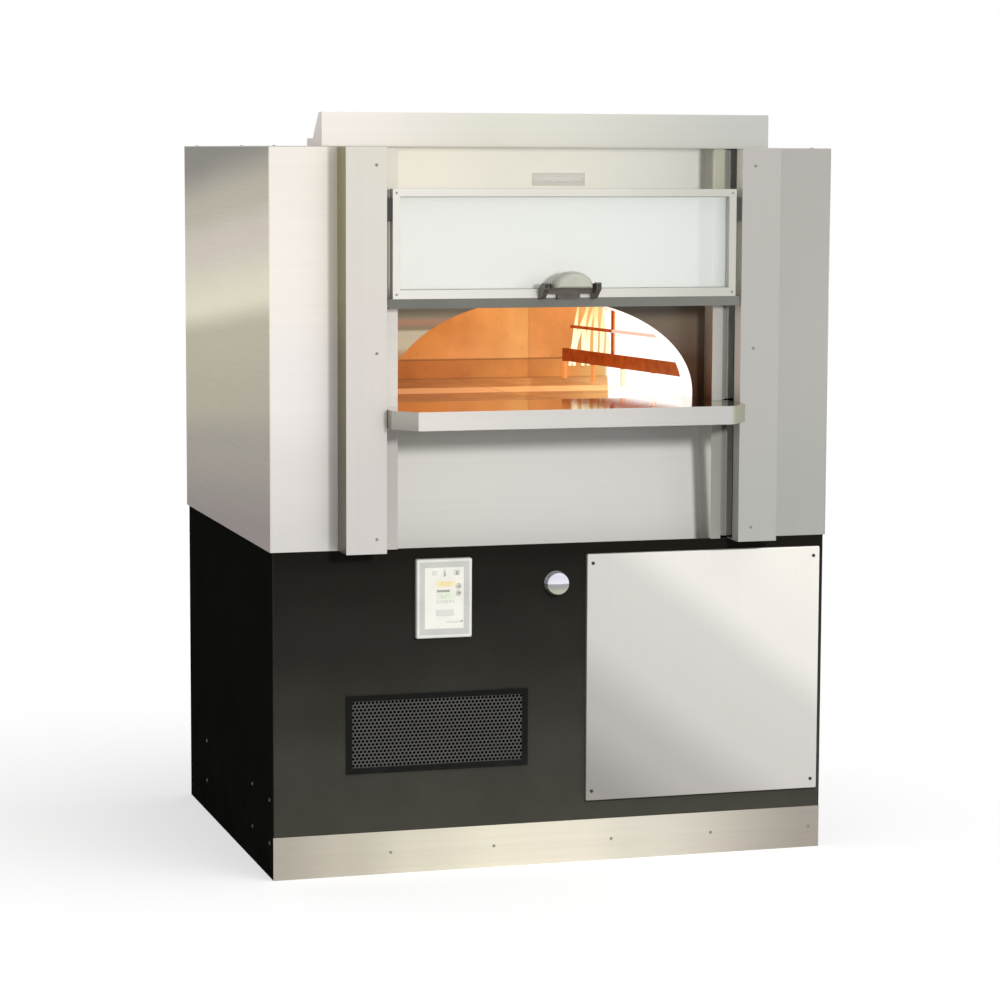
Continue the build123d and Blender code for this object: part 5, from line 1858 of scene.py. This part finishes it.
@dataclass
class Studio:
    """The camera, the floor, the sky and the lamps, with angles in degrees and power in watts."""

    lens: float = 110.34
    place: Triple = (-2.175, -7.254, 1.685)
    yaw: float = 16.61
    pitch: float = 6.47
    roll: float = 0.24
    ambient: float = 0.35
    floor_reach: float = 60.0
    floor_lift: float = 0.56
    covered: float = 0.47
    covered_middle: float = 0.08
    key_place: Triple = (0.25, -3.4, 1.72)
    key_ahead: Triple = (0.0, 1.0, -0.22)
    key_size: Pair = (0.3, 0.3)
    key_power: float = 68.0
    glow_place: Triple = (0.38, 0.1, 1.25)
    glow_ahead: Triple = (-1.0, 0.0, 0.1)
    glow_size: Pair = (0.5, 0.1)
    glow_power: float = 1.5
    glow_colour: Triple = (1.0, 0.6, 0.3)
    sun_azimuth: float = 50.0
    sun_elevation: float = 58.0
    sun_spread: float = 50.0
    sun_strength: float = 0.85

    def camera(self) -> None:
        """Stand the camera where the photograph was taken from."""
        yaw, pitch, roll = (math.radians(angle) for angle in (self.yaw, self.pitch, self.roll))
        ahead = Vector((math.sin(yaw) * math.cos(pitch), math.cos(yaw) * math.cos(pitch), -math.sin(pitch)))
        right = Vector((math.cos(yaw), -math.sin(yaw), 0.0))
        up = right.cross(ahead)
        across = right * math.cos(roll) + up * math.sin(roll)
        over = up * math.cos(roll) - right * math.sin(roll)
        data = bpy.data.cameras.new("camera")
        data.lens = self.lens
        data.sensor_width = 36.0
        data.sensor_fit = "HORIZONTAL"
        data.clip_end = 200.0
        turn = Matrix((across, over, -ahead)).transposed().to_4x4()
        bpy.context.scene.camera = stand("camera", data, Matrix.Translation(self.place) @ turn)

    def seen(self, graph: Graph) -> Field:
        """Give 1 for the rays that show the background: camera, glossy and transmission rays."""
        path = graph.node("LightPath").outputs
        return graph.math("MAXIMUM", path["Is Camera Ray"], path["Is Glossy Ray"]).most(path["Is Transmission Ray"])

    def sky(self) -> None:
        """Make the world white where it is seen and a plain grey where it lights."""
        world = bpy.data.worlds.new("studio")
        bpy.context.scene.world = world
        graph = Graph.fresh(world)
        dim, white = (graph.node("Background", {"Color": (1, 1, 1, 1), "Strength": strength}).outputs[0]
                      for strength in (self.ambient, 1.0))
        graph.node("OutputWorld", {"Surface": graph.field("MixShader", {0: self.seen(graph), 1: dim, 2: white})})

    def floor(self) -> bpy.types.Object:
        """Lay the pale floor, which keeps the shadow and is lifted to white where it is seen round the oven.

        Returns:
            The floor.
        """
        size = self.floor_reach
        data = bpy.data.meshes.new("floor")
        data.from_pydata([(-size, -size, 0), (size, -size, 0), (size, size, 0), (-size, size, 0)], [], [(0, 1, 2, 3)])
        made = stand("floor", data)
        material = bpy.data.materials.new("studio_floor")
        graph = Graph.fresh(material)
        matt = graph.field("BsdfDiffuse", {"Color": (0.8, 0.8, 0.8, 1.0)})
        x, y, _ = graph.place().axes()
        bare = abs(x).most(abs(y - self.covered_middle)).spread(self.covered - 0.01, self.covered, 0.0, 1.0)
        lift = self.seen(graph) * self.floor_lift * bare
        light = graph.field("Emission", {"Color": (1, 1, 1, 1), "Strength": lift})
        graph.node("OutputMaterial", {"Surface": graph.field("AddShader", {0: matt, 1: light})})
        data.materials.append(material)
        return made

    def sun(self) -> None:
        """Hang the top lamp far away, to the right of straight ahead of the oven's front."""
        data = bpy.data.lights.new("top_lamp", "SUN")
        data.energy = self.sun_strength
        data.angle = math.radians(self.sun_spread)
        a, e = math.radians(self.sun_azimuth), math.radians(self.sun_elevation)
        source = Vector((math.sin(a) * math.cos(e), -math.cos(a) * math.cos(e), math.sin(e)))
        stand("top_lamp", data, source.to_track_quat("Z", "Y").to_matrix().to_4x4())

    def panel(self, name: str, place: Triple, ahead: Triple, size: Pair, power: float) -> bpy.types.Object:
        """Hang a flat lamp near the oven, which isn't seen in reflections.

        Args:
            name: Its name.
            place: Its middle.
            ahead: The way that it shines.
            size: Its width and height.
            power: Its power.

        Returns:
            The lamp.
        """
        data = bpy.data.lights.new(name, "AREA")
        data.shape = "RECTANGLE"
        data.size, data.size_y = size
        data.energy = power
        turn = (-Vector(ahead)).to_track_quat("Z", "Y").to_matrix().to_4x4()
        made = stand(name, data, Matrix.Translation(place) @ turn)
        made.visible_glossy = False
        return made

    def lamps(self, floor: bpy.types.Object) -> None:
        """Hang the front lamp, which passes the floor by, the top lamp and the glow of the fire.

        Args:
            floor: The floor.
        """
        key = self.panel("front_lamp", self.key_place, self.key_ahead, self.key_size, self.key_power)
        key.data.shape = "DISK"
        spared = bpy.data.collections.new("spared_by_front_lamp")
        spared.objects.link(floor)
        key.light_linking.receiver_collection = spared
        spared.collection_objects[0].light_linking.link_state = "EXCLUDE"
        self.sun()
        glow = self.panel("fire_glow", self.glow_place, self.glow_ahead, self.glow_size, self.glow_power)
        glow.data.color = self.glow_colour

    def build(self) -> None:
        """Build the studio."""
        bpy.context.scene.view_settings.view_transform = "Standard"
        self.camera()
        self.sky()
        self.lamps(self.floor())
        log.info("the studio stands")


def main() -> None:
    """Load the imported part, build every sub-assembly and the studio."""
    logging.basicConfig(level=logging.INFO, format="%(name)s: %(message)s")
    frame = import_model()
    for kind in (Stand, Controls, Services, Hearth, Casing, Door, Lift):
        log.info("building %s", kind.__name__)
        kind(frame["nodes"]).build()
    Studio().build()


if __name__ == "__main__":
    main()
